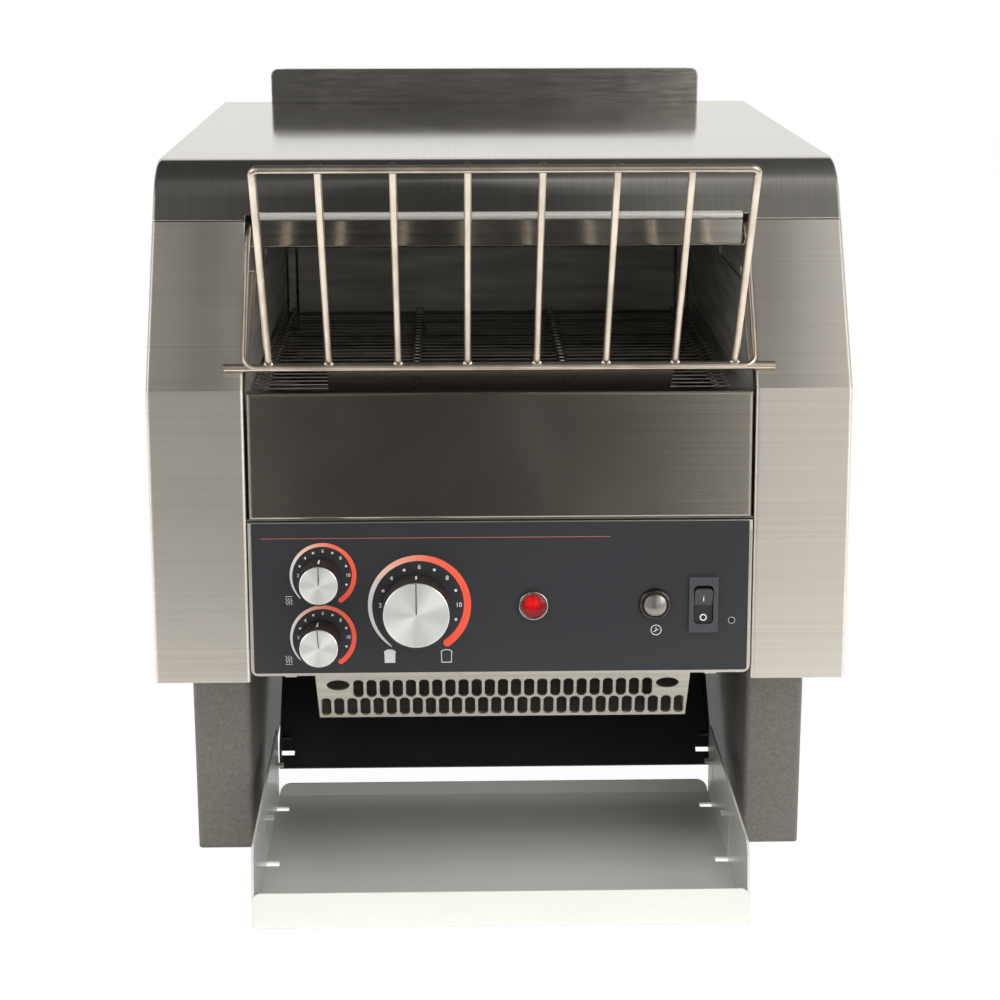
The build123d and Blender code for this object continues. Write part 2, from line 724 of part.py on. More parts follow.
def make_control_pan():
    ys = (guard_foot[0] + 1.6, guard_foot[0] + 73, shelf_rear - 1.8)
    foot, middle, head = [(y, pan_z(y)) for y in ys]
    pan = folded_x([foot, middle], [], guard_x - guard_foot_half + 1.3, guard_x + guard_foot_half - 1.3, gauge=-1.0)
    return pan + folded_x([middle, head], [], -wall_half, wall_half, gauge=-1.0)


parts["control_pan"] = make_control_pan()

guard_top_y = guard_foot[0] - math.tan(guard_lean) * (foot_z - guard_foot[1])
guard_length = (foot_z - guard_foot[1]) / math.cos(guard_lean)
guard_top_half = 106.8
slot_wide, slot_tall, slot_pitch = 5.75, 11.6, 7.42


def perforation():
    # a tall slot with chamfered ends
    w, h, c = slot_wide / 2, slot_tall / 2, 1.5
    half = [(-w, -h + c), (-w + c, -h), (w - c, -h), (w, -h + c)]
    return make_face(Polyline(*(half + [(-x, -y) for x, y in half]), close=True))


def make_air_guard():
    # local plane of the plate: origin at its foot, y up the plate, z facing the front
    plane = Plane(origin=(guard_x, *guard_foot), x_dir=(1, 0, 0), z_dir=(0, -math.cos(guard_lean), -math.sin(guard_lean)))
    outline = make_face(Polyline((-guard_foot_half, 0), (guard_foot_half, 0), (guard_top_half, guard_length),
                                 (-guard_top_half, guard_length), close=True))
    holes = []
    for i in range(28):
        holes.append(Pos((i - 13.5) * slot_pitch, 7.35) * perforation())
    for i in range(23):
        holes.append(Pos((i - 11) * slot_pitch, 19.6) * perforation())
    for side in (-1, 1):
        holes.append(Pos(side * 93.0, 22.0) * Ellipse(6.45, 3.45))
    outline -= Sketch() + holes
    guard = slab(plane, outline, -sheet, 0) & block((-200, 200), (-200, 0), (0, foot_z))
    guard += block((guard_x - 104, guard_x + 104), (guard_top_y - 11, guard_top_y + 0.8), (foot_z - sheet, foot_z))
    wing = [guard_foot, (guard_top_y, foot_z), (-88, foot_z), (-88, pan_z(-88))]
    for side in (-1, 1):
        guard += prism_x(wing, *sorted(guard_x + side * reach for reach in (guard_foot_half - sheet, guard_foot_half)))
    return guard


parts["air_guard"] = make_air_guard()


# ---- toast slide ----
def slide_z(y):
    return slide_foot[1] + math.tan(slide_slope) * (y - slide_foot[0])


def make_toast_slide():
    middle_y = 40.0
    lower_half, upper_half = 130.5, 133.8
    foot = [slide_foot, (middle_y, slide_z(middle_y))]
    head = [(middle_y, slide_z(middle_y)), (back_wall_y - 0.2, slide_z(back_wall_y - 0.2))]
    slide = folded_x(foot, [], -lower_half, lower_half, gauge=1.0)
    slide += folded_x(head, [], -upper_half, upper_half, gauge=1.0)
    edge = [slide_foot, (slide_foot[0] + 3, slide_foot[1] + 14), (middle_y - 8, slide_z(middle_y - 8) + 14),
            (middle_y, slide_z(middle_y))]
    for side in (-1, 1):
        slide += prism_x(edge, *sorted((side * (lower_half - 1.2), side * lower_half)))
        x = sorted((side * (lower_half - 8.7), side * (lower_half + 1)))
        slide -= block(x, (slide_foot[0] + 6.7, slide_foot[0] + 10.2), (0, slide_z(slide_foot[0] + 9)))
        x = sorted((side * (lower_half - 6.5), side * (lower_half - 1.0)))
        slide += block(x, (slide_foot[0] + 6, slide_foot[0] + 11), (30.0, 31.2))
    return slide


parts["toast_slide"] = make_toast_slide()

# ---- collection tray ----
tray_half = 130.0
tray_x = -1.3                 # it stands a little to the left
tray_front, tray_rear = -264.5, -85.3
tray_wall_z = 43.0
tray_lip_z = 20.0
tray_back_z = 9.0
stations = (-184.9, -106.5)   # slots across the floor and up the wall, for a toast stop


def make_collection_tray():
    depth = tray_rear - tray_front
    centre_y = (tray_front + tray_rear) / 2
    tray = block((-tray_half, tray_half), (tray_front, tray_rear), (0, sheet))
    lip = block((-tray_half, tray_half), (tray_front, tray_front + sheet), (0, tray_lip_z))
    lip = fillet([e for e in lip.edges().filter_by(Axis.Y) if e.center().Z > 5], 5.0)
    back = block((-tray_half + 1.6, tray_half - 1.6), (tray_rear - sheet, tray_rear), (0, tray_back_z))
    back = fillet([e for e in back.edges().filter_by(Axis.Y) if e.center().Z > 5], 7.0)
    tray += lip + back
    wall = [(tray_front, 0), (tray_front, tray_lip_z - 6), (tray_front + 4, tray_wall_z - 6),
            (tray_front + 10, tray_wall_z), (tray_rear, tray_wall_z), (tray_rear, 0)]
    for side in (-1, 1):
        tray += prism_x(wall, *sorted((side * (tray_half - sheet), side * tray_half)))
        for y in stations:
            inner = side * (tray_half - 8.5)
            tray -= block(sorted((inner, side * (tray_half - sheet))), (y - 3.3, y + 3.3), (-1, 3))
            tray -= block(sorted((side * (tray_half - 2), side * (tray_half + 1))), (y - 0.8, y + 0.8), (3, 27))
            tray += block(sorted((side * (tray_half - 6.0), side * (tray_half - sheet))), (y - 2.5, y + 2.5), (28.2, 29.4))
    return Pos(tray_x, 0, 0) * tray


parts["collection_tray"] = make_collection_tray()

# ---- crumb tray, pulled out by the panel above the controls ----
panel_half = 132.2
panel_low, panel_high = 205.1, 272.2
crumb_low = 206.2
crumb_rear = 62.0


def make_front_panel():
    # a shallow pan with bent edges all round
    low, high = panel_low, panel_high
    outline = [(front_y(low), low), (front_y(high), high), (front_y(high) + 8, high), (front_y(low) + 8, low)]
    panel = prism_x(outline, -panel_half, panel_half)
    bends = [e for e in panel.edges() if all(abs(v.Y - front_y(v.Z)) < 0.05 for v in e.vertices())]
    panel = fillet(bends, 1.7)
    low, high = low + sheet, high - sheet
    room = [(front_y(low, sheet), low), (front_y(high, sheet), high), (front_y(high) + 12, high),
            (front_y(low) + 12, low)]
    return panel - prism_x(room, -panel_half + sheet, panel_half - sheet)


parts["front_panel"] = make_front_panel()


def make_crumb_tray():
    half = wall_half - 3.0
    front = front_y(panel_low, sheet)
    tray = block((-half, half), (front + 8.2, crumb_rear), (crumb_low, crumb_low + 0.8))
    tray += block((-half + 4, half - 4), (front + 8.2, front + 9.0), (crumb_low, 215.0))
    tray += block((-half, half), (crumb_rear - 0.8, crumb_rear), (crumb_low, 216.0))
    for side in (-1, 1):
        tray += block(sorted((side * (half - 0.8), side * half)), (front + 8.2, crumb_rear), (crumb_low, 216.0))
    for x in (-80.0, 80.0):
        tray += block((x - 10, x + 10), (front_y(214.0, sheet), front + 9.0), (213.0, 214.0))
    return tray


parts["crumb_tray"] = make_crumb_tray()

# ---- control panel, in the plane of the lower front face ----
panel_z0 = 158.4
lower_face = (front_outline[0], front_outline[1])
tilt = math.atan2(lower_face[1][0] - lower_face[0][0], lower_face[1][1] - lower_face[0][1])
face_plane = Plane(origin=(0, front_y(panel_z0), panel_z0), x_dir=(1, 0, 0),
                   z_dir=(0, -math.cos(tilt), math.sin(tilt)))


def on_face(x, z, rise=0.0):
    # a place on the control panel, given by its x and height, raised square to the face
    return face_plane * Pos(x, (z - panel_z0) / math.cos(tilt), rise)


def face_disc(x, z, radius, low, high):
    return on_face(x, z, low) * Cylinder(radius, high - low, align=(Align.CENTER, Align.CENTER, Align.MIN))


def face_box(x, z, width, height, low, high):
    return on_face(x, z, low) * Box(width, height, high - low, align=(Align.CENTER, Align.CENTER, Align.MIN))


upper_heat = (-95.2, 174.7)
lower_heat = (-95.7, 140.9)
speed_dial = (-44.6, 158.4)
lamp_at = (17.2, 158.4)
button_at = (81.8, 158.4)
rocker_at = (107.5, 158.1)
indicator_at = (122.7, 149.2)
overlay_rise = 0.3
control_low, control_high = 120.4, 203.9
control_half = 132.9
spindle_r = 3.0
rocker_frame_size = (15.5, 30.2)
rocker_well = (10.4, 21.0)


def control_cuts(low, high):
    cuts = [face_disc(*at, 5.0, low, high) for at in (upper_heat, lower_heat, speed_dial)]
    cuts.append(face_disc(*lamp_at, 6.1, low, high))
    cuts.append(face_disc(*button_at, 8.1, low, high))
    cuts.append(face_disc(*indicator_at, 1.5, low, high))
    cuts.append(face_box(*rocker_at, 12.4, 26.4, low, high))
    return cuts


def make_control_panel():
    height = (control_high - control_low) / math.cos(tilt)
    middle = (control_high + control_low) / 2
    panel = face_box(0, middle, 2 * control_half, height, -sheet, 0)
    corners = [e for e in panel.edges() if abs(abs(e.center().X) - control_half) < 0.01
               and e.length < 2 and e.center().Z < middle]
    panel = fillet(corners, 4.0)
    panel += face_box(0, control_low + 0.6, 2 * control_half - 12, sheet, -7, 0)
    for x in (-112.0, 112.0):
        panel += face_box(x, control_low + 0.2, 6, 2.4, -2.4, -sheet)
    for cut in control_cuts(-8, 2):
        panel -= cut
    return panel


parts["control_panel"] = make_control_panel()


def make_overlay():
    low, high = 121.9, 203.5
    sketch = Rectangle(262.4, (high - low) / math.cos(tilt))
    sketch = fillet(sketch.vertices().sort_by(Axis.Y)[:2], 1.6)
    sketch = fillet(sketch.vertices().sort_by(Axis.Y)[-2:], 0.5)
    overlay = on_face(0, (low + high) / 2) * extrude(sketch, amount=overlay_rise)
    for cut in control_cuts(-1, 1):
        overlay -= cut
    return overlay


parts["control_overlay"] = make_overlay()


def make_heat_switches():
    switches = []
    for at in (upper_heat, lower_heat):
        body = face_box(*at, 38, 30, -28, -sheet - 0.3) + face_disc(*at, 4.8, -sheet - 0.3, 1.5)
        switches.append(body - face_disc(*at, spindle_r + running_gap, -20, 2))
    return Compound(children=switches)


parts["heat_switches"] = make_heat_switches()


def make_speed_control():
    body = face_disc(*speed_dial, 13.0, -22, -sheet - 0.3) + face_disc(*speed_dial, 4.8, -sheet - 0.3, 1.5)
    body += face_box(*speed_dial, 60, 40, -24, -22)
    return body - face_disc(*speed_dial, spindle_r + running_gap, -18, 2)


parts["speed_control"] = make_speed_control()


def make_knob(at, face_r, skirt_r, depth):
    # fluted grip that narrows a little towards the panel, on a spindle
    low = 2.2
    grip = on_face(*at, low) * Cone(skirt_r - 0.9, skirt_r, depth - low, align=(Align.CENTER, Align.CENTER, Align.MIN))
    recess = face_disc(*at, face_r + 0.02, depth - 1.6, depth + 1)
    flutes = 36 if skirt_r > 15 else 28
    cutters = []
    for k in range(flutes):
        angle = 2 * math.pi * k / flutes
        x = at[0] + (skirt_r + 0.35) * math.cos(angle)
        z = at[1] + (skirt_r + 0.35) * math.sin(angle) * math.cos(tilt)
        cutters.append(face_disc(x, z, 0.75, low - 1, depth - 2.5))
    grip = grip.cut(*cutters)
    grip -= recess
    return grip + face_disc(*at, spindle_r, -17, low + 1)


def make_knob_cap(at, face_r, depth):
    cap = face_disc(*at, face_r, depth - 1.6, depth + 0.6)
    rim = cap.edges().filter_by(GeomType.CIRCLE).sort_by(Axis.Y)[:1]
    return fillet(rim, 0.35)


small_face, small_skirt = 10.0, 11.1
large_face, large_skirt = 17.3, 18.6
knob_depth = 19.5
for name, at, face_r, skirt_r in (("upper_heat_knob", upper_heat, small_face, small_skirt),
                                  ("lower_heat_knob", lower_heat, small_face, small_skirt),
                                  ("speed_knob", speed_dial, large_face, large_skirt)):
    parts[name] = make_knob(at, face_r, skirt_r, knob_depth)
    parts[name + "_cap"] = make_knob_cap(at, face_r, knob_depth)


# ---- lamp, push button, power switch, small indicator ----
def make_lamp_bezel():
    bezel = face_disc(*lamp_at, 7.85, overlay_rise, 2.6) + face_disc(*lamp_at, 6.0, -22, overlay_rise)
    bezel = fillet(bezel.edges().filter_by(GeomType.CIRCLE).sort_by(Axis.Y)[:1], 0.6)
    return bezel - face_disc(*lamp_at, 6.5, 0.8, 4)


parts["lamp_bezel"] = make_lamp_bezel()


def domed(at, radius, low, shoulder, rise):
    # a short cylinder closed by a spherical cap
    sphere_r = (radius ** 2 + rise ** 2) / (2 * rise)
    body = face_disc(*at, radius, low, shoulder + rise)
    return body & (on_face(*at, shoulder + rise - sphere_r) * Sphere(sphere_r))


parts["lamp_lens"] = domed(lamp_at, 6.45, 0.8, 2.4, 1.8)

button_travel = 2.5


def make_button_bezel():
    bezel = face_disc(*button_at, 8.6, overlay_rise, 2.9) + face_disc(*button_at, 8.0, -26, overlay_rise)
    bezel = fillet(bezel.edges().filter_by(GeomType.CIRCLE).sort_by(Axis.Y)[:1], 1.6)
    return bezel - face_disc(*button_at, 6.3, -2.6, 4) - face_disc(*button_at, 2.0 + running_gap, -20, 0)


parts["save_button_bezel"] = make_button_bezel()
parts["save_button"] = domed(button_at, 5.95, 0.2, 3.0, 1.8) + face_disc(*button_at, 2.0, -16, 0.3)


rocker_pivot_rise = -2.5
rocker_tilt = 7.0
rocker_barrel_r = 1.8


def make_rocker_frame():
    frame = face_box(*rocker_at, *rocker_frame_size, overlay_rise, 2.0)
    frame = fillet(frame.edges().filter_by(lambda e: e.length < 2), 0.8)
    frame += face_box(*rocker_at, 12.0, 26.0, -22, overlay_rise)
    frame -= on_face(*rocker_at, -9) * extrude(RectangleRounded(*rocker_well, 2.4), amount=12)
    pivot = on_face(*rocker_at, rocker_pivot_rise) * Rot(0, 90, 0)
    return frame - pivot * Cylinder(rocker_barrel_r + running_gap, 14)


def make_rocker():
    # seen from the side: two faces that meet in a shallow valley, on a pivot barrel
    half = rocker_well[1] / 2 - 0.9
    outline = [(-half, 0.5), (-half, 4.6), (0, 3.0), (half, 4.6), (half, 0.5), (2.5, -1.5), (-2.5, -1.5)]
    width = rocker_well[0] - 0.8
    profile = Plane.YZ.offset(-width / 2) * make_face(Polyline(*outline, close=True))
    rocker = extrude(profile, amount=width, dir=(1, 0, 0))
    rocker &= Pos(0, 0, -5) * extrude(RectangleRounded(width, 2 * half, 2.0), amount=15)
    rocker += rod((-5.8, 0, 0), (5.8, 0, 0), rocker_barrel_r)
    return on_face(*rocker_at, rocker_pivot_rise) * Rot(rocker_tilt, 0, 0) * rocker


parts["rocker_frame"] = make_rocker_frame()
parts["power_rocker"] = make_rocker()
parts["indicator_light"] = face_disc(*indicator_at, 1.45, -6, 0.7)


# ---- wiring block and cooling fan ----
def make_terminal_block():
    block_body = block((-60, 0), (160, 182), (base_high, base_high + 18))
    for i in range(6):
        block_body -= rod((-55 + 10 * i, 171, base_high + 10), (-55 + 10 * i, 171, base_high + 20), 3.2)
    return block_body


parts["terminal_block"] = make_terminal_block()

fan_half = 46.0
fan_depth = 25.0
fan_back = rear_y - sheet
blade_count = 7


def make_fan_frame():
    y0, y1 = fan_back - fan_depth, fan_back
    frame = block((fan_x - fan_half, fan_x + fan_half), (y0, y1), (fan_z - fan_half, fan_z + fan_half))
    frame = fillet(frame.edges().filter_by(Axis.Y), 5.0)
    frame -= rod((fan_x, y0 - 1, fan_z), (fan_x, y1 + 1, fan_z), 43.0)
    frame += rod((fan_x, y0, fan_z), (fan_x, y0 + 3, fan_z), 17.0)
    for k in range(4):
        arm = block((0, 44), (y0, y0 + 3), (-2.5, 2.5))
        frame += Pos(fan_x, 0, fan_z) * Rot(0, 45 + 90 * k, 0) * arm
    return frame + rod((fan_x, y0, fan_z), (fan_x, y0 + 19, fan_z), 2.0)


parts["fan_frame"] = make_fan_frame()


def make_fan_rotor():
    y0 = fan_back - fan_depth + 4.5
    y1 = fan_back - 2.5
    rotor = rod((fan_x, y0, fan_z), (fan_x, y1, fan_z), 17.0)
    for k in range(blade_count):
        blade = block((14, 40.5), (-8, 8), (-0.9, 0.9))
        blade = Rot(38, 0, 0) * blade
        rotor += Pos(fan_x, (y0 + y1) / 2, fan_z) * Rot(0, 360.0 * k / blade_count, 0) * blade
    return rotor - rod((fan_x, y0 - 1, fan_z), (fan_x, y1 - 3, fan_z), 2.0 + running_gap)


parts["fan_rotor"] = make_fan_rotor()

# ---- bread rack: sloping wires, cross rod, hanger, side loops and ramp plate ----
rack_r = 2.0
rod_r = 2.2
rod_up = 12.0                 # from the lower bend of the slanted face up to the rod
slant_length = math.hypot(slant_dy, slant_dz)
slant = (slant_dy / slant_length, slant_dz / slant_length)
rack_top = (-267.0, 395.0)
rack_x = 1.0                  # the rack sits a little to the right
rack_half = 121.1
rack_wires_x = [-90.0, -54.0, -18.0, 18.0, 54.0, 90.0]


def on_slant(up, out):
    # a (y, z) place on the slanted face: distance up it from its lower bend, and out from it
    return (front_outline[2][0] + slant[0] * up - slant[1] * out, front_outline[2][1] + slant[1] * up + slant[0] * out)


rod_at = on_slant(rod_up, rod_r + 0.3)


hanger_low = (rod_up - 1.2, 2 * rod_r + hanger_r + 0.1)


def rack_foot():
    # a wire's end butts on the cross rod while its side touches the hanger's bottom run
    low = on_slant(*hanger_low)
    away = (rack_top[0] - rod_at[0], rack_top[1] - rod_at[1])
    length = math.hypot(*away)
    along = (away[0] / length, away[1] / length)
    across = (-along[1], along[0])
    gap = (low[0] - rod_at[0]) * across[0] + (low[1] - rod_at[1]) * across[1]
    shift = gap - (hanger_r + rack_r + 0.03)
    reach = rod_r + 0.03
    return (rod_at[0] + along[0] * reach + across[0] * shift, rod_at[1] + along[1] * reach + across[1] * shift)


def make_rack_wires():
    foot = rack_foot()
    left, right = rack_x - rack_half, rack_x + rack_half
    frame = bent_wire([(left, *foot), (left, *rack_top), (right, *rack_top), (right, *foot)], [3.4, 3.4], rack_r)
    reach, away = math.hypot(rack_top[0] - foot[0], rack_top[1] - foot[1]), (rack_top[0] - foot[0], rack_top[1] - foot[1])
    along = (away[0] / reach, away[1] / reach)
    end = (rack_top[0] + along[0] * 0.4 + along[1] * 3.7, rack_top[1] + along[1] * 0.4 - along[0] * 3.7)
    for x in rack_wires_x:
        frame += rod((rack_x + x, *foot), (rack_x + x, *end), rack_r - 0.15)
    return frame


parts["rack_wires"] = make_rack_wires()
parts["rack_rod"] = rod((-143.5, *rod_at), (143.5, *rod_at), rod_r)


def make_rack_hanger():
    # a wire bent to a U that hangs from two pins, with a thin channel beside each arm
    low = on_slant(*hanger_low)
    high = on_slant(slant_length - 9.5, hanger_r + 0.5)
    pin = 12.0
    points = []
    for side in (-1, 1):
        arm = [(side * (arm_x + pin), *hook_axis), (side * arm_x, *hook_axis), (side * arm_x, *high),
               (side * arm_x, *low)]
        points += arm if side < 0 else arm[::-1]
    hanger = bent_wire(points, [2.6, 2.2, 6.0, 6.0, 2.2, 2.6], hanger_r)
    run = slant_length - 9.5 - hanger_low[0]

    def beside_arm(x, up):
        return Vector(x, *on_slant(hanger_low[0] + up, hanger_low[1] - (hanger_low[1] - hanger_r - 0.5) * up / run))

    w, d, t = 1.15, 0.8, 0.42     # half width, half depth and gauge of the channel
    channel = [(-w, -d), (w, -d), (w, d), (w - t, d), (w - t, -d + t), (-w + t, -d + t), (-w + t, d), (-w, d)]
    for side in (-1, 1):
        foot, head = beside_arm(side * (arm_x - 2.5), 2.6), beside_arm(side * (arm_x - 3.8), 57.0)
        outward = Vector(0, -slant[1], slant[0])
        plane = Plane(origin=foot, x_dir=outward.cross(head - foot), z_dir=head - foot)
        hanger += extrude(plane * make_face(Polyline(*channel, close=True)), amount=(head - foot).length, dir=head - foot)
        hanger += rod(tuple(beside_arm(side * (arm_x - 3.6), 55.8)), tuple(beside_arm(side * (arm_x - 0.3), 55.8)), 0.7)
    return hanger


parts["rack_hanger"] = make_rack_hanger()


def make_rack_ramp():
    # polished plate under the rod that carries bread down onto the belt
    lean = math.radians(41.2)
    top = (rod_at[0] - (rod_r + 0.02) * math.sin(lean), rod_at[1] - (rod_r + 0.02) * math.cos(lean))
    foot_z_ramp = 268.6
    foot = (top[0] + (top[1] - foot_z_ramp) / math.tan(lean), foot_z_ramp)
    plate = folded_x([top, foot], [], -90.0, 90.0, gauge=1.0)
    corners = [e for e in plate.edges() if abs(abs(e.center().X) - 90) < 0.01 and e.length < 1.5
               and abs(e.center().Y - foot[0]) < 2]
    return fillet(corners, 4.0)


parts["rack_ramp"] = make_rack_ramp()

for name, shape in parts.items():
    export_step(shape, "parts/" + name + ".step")
print(len(parts), "nodes")
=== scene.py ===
import math
import bpy
from mathutils import Matrix, Vector


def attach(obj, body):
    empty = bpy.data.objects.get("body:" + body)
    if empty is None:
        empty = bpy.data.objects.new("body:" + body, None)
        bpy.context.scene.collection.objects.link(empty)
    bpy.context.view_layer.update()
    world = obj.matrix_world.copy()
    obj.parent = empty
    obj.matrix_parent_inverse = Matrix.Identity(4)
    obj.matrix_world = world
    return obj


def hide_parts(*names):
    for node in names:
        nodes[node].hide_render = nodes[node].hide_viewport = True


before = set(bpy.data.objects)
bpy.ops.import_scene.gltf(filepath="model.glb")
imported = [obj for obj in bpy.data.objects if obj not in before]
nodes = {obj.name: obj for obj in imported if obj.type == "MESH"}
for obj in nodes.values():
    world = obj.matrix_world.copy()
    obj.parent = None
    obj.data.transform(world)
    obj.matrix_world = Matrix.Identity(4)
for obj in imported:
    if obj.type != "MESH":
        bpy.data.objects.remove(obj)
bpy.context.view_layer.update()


print("frame loaded:", len(nodes), "nodes")

# camera: metres and radians, with the lens and its sensor in millimetres
camera = {
    "place": (-0.02691, -1.33084, 0.51400),
    "heading": 0.023568,      # turned to the right
    "down": 0.259322,
    "roll": -0.001015,
    "lens": 79.933,
    "sensor": 36.0,
    "reach": 50.0,
}


def makeCamera():
    data = bpy.data.cameras.new("studioCamera")
    data.lens = camera["lens"]
    data.sensor_width = camera["sensor"]
    data.clip_end = camera["reach"]
    body = bpy.data.objects.new("studioCamera", data)
    bpy.context.scene.collection.objects.link(body)
    heading = Matrix.Rotation(-camera["heading"], 4, "Z")
    turn = heading @ Matrix.Rotation(math.pi / 2 - camera["down"], 4, "X")
    body.matrix_world = Matrix.Translation(camera["place"]) @ turn @ Matrix.Rotation(camera["roll"], 4, "Z")
    bpy.context.scene.camera = body


makeCamera()
bpy.context.scene.view_settings.view_transform = "Standard"
bpy.context.scene.view_settings.look = "None"
print("camera placed")


# small tools for node trees
def fillInputs(tree, node, inputs):
    # a socket is linked, and any other value is set
    for key, value in (inputs or {}).items():
        if isinstance(value, bpy.types.NodeSocket):
            tree.links.new(value, node.inputs[key])
        else:
            node.inputs[key].default_value = value
    return node


def addNode(tree, kind, at, inputs=None, **settings):
    node = tree.nodes.new(kind)
    node.location = at
    for key, value in settings.items():
        setattr(node, key, value)
    return fillInputs(tree, node, inputs)


def addMath(tree, at, operation, *values, **settings):
    node = addNode(tree, "ShaderNodeMath", at, dict(enumerate(values)), operation=operation, **settings)
    return node.outputs[0]


def mapRange(tree, at, value, fromMin=0.0, fromMax=1.0, toMin=0.0, toMax=1.0, **settings):
    ends = {"From Min": fromMin, "From Max": fromMax, "To Min": toMin, "To Max": toMax}
    return addNode(tree, "ShaderNodeMapRange", at, {"Value": value, **ends}, **settings).outputs[0]


def newGroup(name, inputs, outputs):
    tree = bpy.data.node_groups.new(name, "ShaderNodeTree")
    for label, kind, value in inputs:
        socket = tree.interface.new_socket(label, in_out="INPUT", socket_type="NodeSocket" + kind)
        if value is not None:
            socket.default_value = value
    for label, kind in outputs:
        tree.interface.new_socket(label, in_out="OUTPUT", socket_type="NodeSocket" + kind)
    start = addNode(tree, "NodeGroupInput", (-900, 0))
    end = addNode(tree, "NodeGroupOutput", (700, 0))
    return tree, start, end


def useGroup(tree, name, at, inputs=None):
    node = tree.nodes.new("ShaderNodeGroup")
    node.node_tree = bpy.data.node_groups[name]
    node.location = at
    return fillInputs(tree, node, inputs)


def shade(hexCode):
    # a screen colour such as 8a8a80 as the linear colour that Blender wants
    parts = [int(hexCode[i:i + 2], 16) / 255 for i in (0, 2, 4)]
    linear = [c / 12.92 if c <= 0.04045 else ((c + 0.055) / 1.055) ** 2.4 for c in parts]
    return (*linear, 1.0)


# finishes that the materials share
def makeBrushLines():
    # fine lines across a sheet, and broader streaks in the same direction
    tree, start, end = newGroup("brushLines",
                                [("Vector", "Vector", None), ("Stretch", "Vector", (12.0, 12.0, 1500.0))],
                                [("Height", "Float"), ("Streak", "Float")])
    fine = addNode(tree, "ShaderNodeVectorMath", (-650, 150),
                   {0: start.outputs["Vector"], 1: start.outputs["Stretch"]}, operation="MULTIPLY")
    fineNoise = addNode(tree, "ShaderNodeTexNoise", (-400, 150),
                        {"Vector": fine.outputs[0], "Scale": 1.0, "Detail": 3.0, "Roughness": 0.65})
    broad = addNode(tree, "ShaderNodeVectorMath", (-650, -150), {0: fine.outputs[0], "Scale": 0.42},
                    operation="SCALE")
    broadNoise = addNode(tree, "ShaderNodeTexNoise", (-400, -150),
                         {"Vector": broad.outputs[0], "Scale": 1.0, "Detail": 2.0, "Roughness": 0.5})
    streak = mapRange(tree, (-100, -150), broadNoise.outputs["Fac"], 0.3, 0.7)
    fillInputs(tree, end, {"Height": fineNoise.outputs["Fac"], "Streak": streak})


def makeHandMarks():
    # soft smudges that dull a surface here and there
    tree, start, end = newGroup("handMarks", [("Vector", "Vector", None), ("Scale", "Float", 14.0)],
                                [("Marks", "Float")])
    noise = addNode(tree, "ShaderNodeTexNoise", (-500, 0),
                    {"Vector": start.outputs["Vector"], "Scale": start.outputs["Scale"], "Detail": 4.0,
                     "Roughness": 0.6, "Distortion": 0.5})
    fillInputs(tree, end, {"Marks": mapRange(tree, (-200, 0), noise.outputs["Fac"], 0.42, 0.78)})


def makeFineGrain():
    # even small-scale relief: moulded plastic, satin blasting, powder coat
    tree, start, end = newGroup("fineGrain", [("Vector", "Vector", None), ("Scale", "Float", 1200.0)],
                                [("Height", "Float"), ("Fleck", "Float")])
    place = {"Vector": start.outputs["Vector"], "Scale": start.outputs["Scale"]}
    noise = addNode(tree, "ShaderNodeTexNoise", (-500, 100), {**place, "Detail": 2.0, "Roughness": 0.6})
    cells = addNode(tree, "ShaderNodeTexVoronoi", (-500, -200), place)
    fleck = mapRange(tree, (-200, -200), cells.outputs["Distance"], 0.1, 0.7)
    fillInputs(tree, end, {"Height": noise.outputs["Fac"], "Fleck": fleck})


for makeGroup in (makeBrushLines, makeHandMarks, makeFineGrain):
    makeGroup()


# materials
def startMaterial(name):
    material = bpy.data.materials.new(name)
    material.use_nodes = True
    tree = material.node_tree
    tree.nodes.clear()
    output = addNode(tree, "ShaderNodeOutputMaterial", (900, 0))
    shader = addNode(tree, "ShaderNodeBsdfPrincipled", (600, 0))
    tree.links.new(shader.outputs[0], output.inputs[0])
    place = addNode(tree, "ShaderNodeTexCoord", (-900, 0))
    return material, tree, shader, place.outputs["Object"]


def mixColors(tree, at, amount, first, second):
    node = addNode(tree, "ShaderNodeMix", at, data_type="RGBA")
    return fillInputs(tree, node, {0: amount, 6: first, 7: second}).outputs[2]


def fillRamp(ramp, stops):
    # stops are (position, colour)
    while len(ramp.color_ramp.elements) < len(stops):
        ramp.color_ramp.elements.new(0.5)
    for element, (position, color) in zip(ramp.color_ramp.elements, stops):
        element.position = position
        element.color = color
    return ramp.outputs[0]


def addBump(tree, strength, depth, height, normal=None):
    relief = {"Strength": strength, "Distance": depth, "Height": height}
    if normal:
        relief["Normal"] = normal
    return addNode(tree, "ShaderNodeBump", (200, -250), relief).outputs[0]


def softEdges(tree, at, radius):
    # rounds the light on sharp sheet edges
    return addNode(tree, "ShaderNodeBevel", at, {"Radius": radius}, samples=4).outputs[0]


def turnGrain(tree, shader, strength, turn, axis):
    # highlights drawn out across the brushing
    grain = addNode(tree, "ShaderNodeTangent", (200, -450), direction_type="RADIAL", axis=axis)
    fillInputs(tree, shader, {"Anisotropic": strength, "Anisotropic Rotation": turn,
                              "Tangent": grain.outputs[0]})


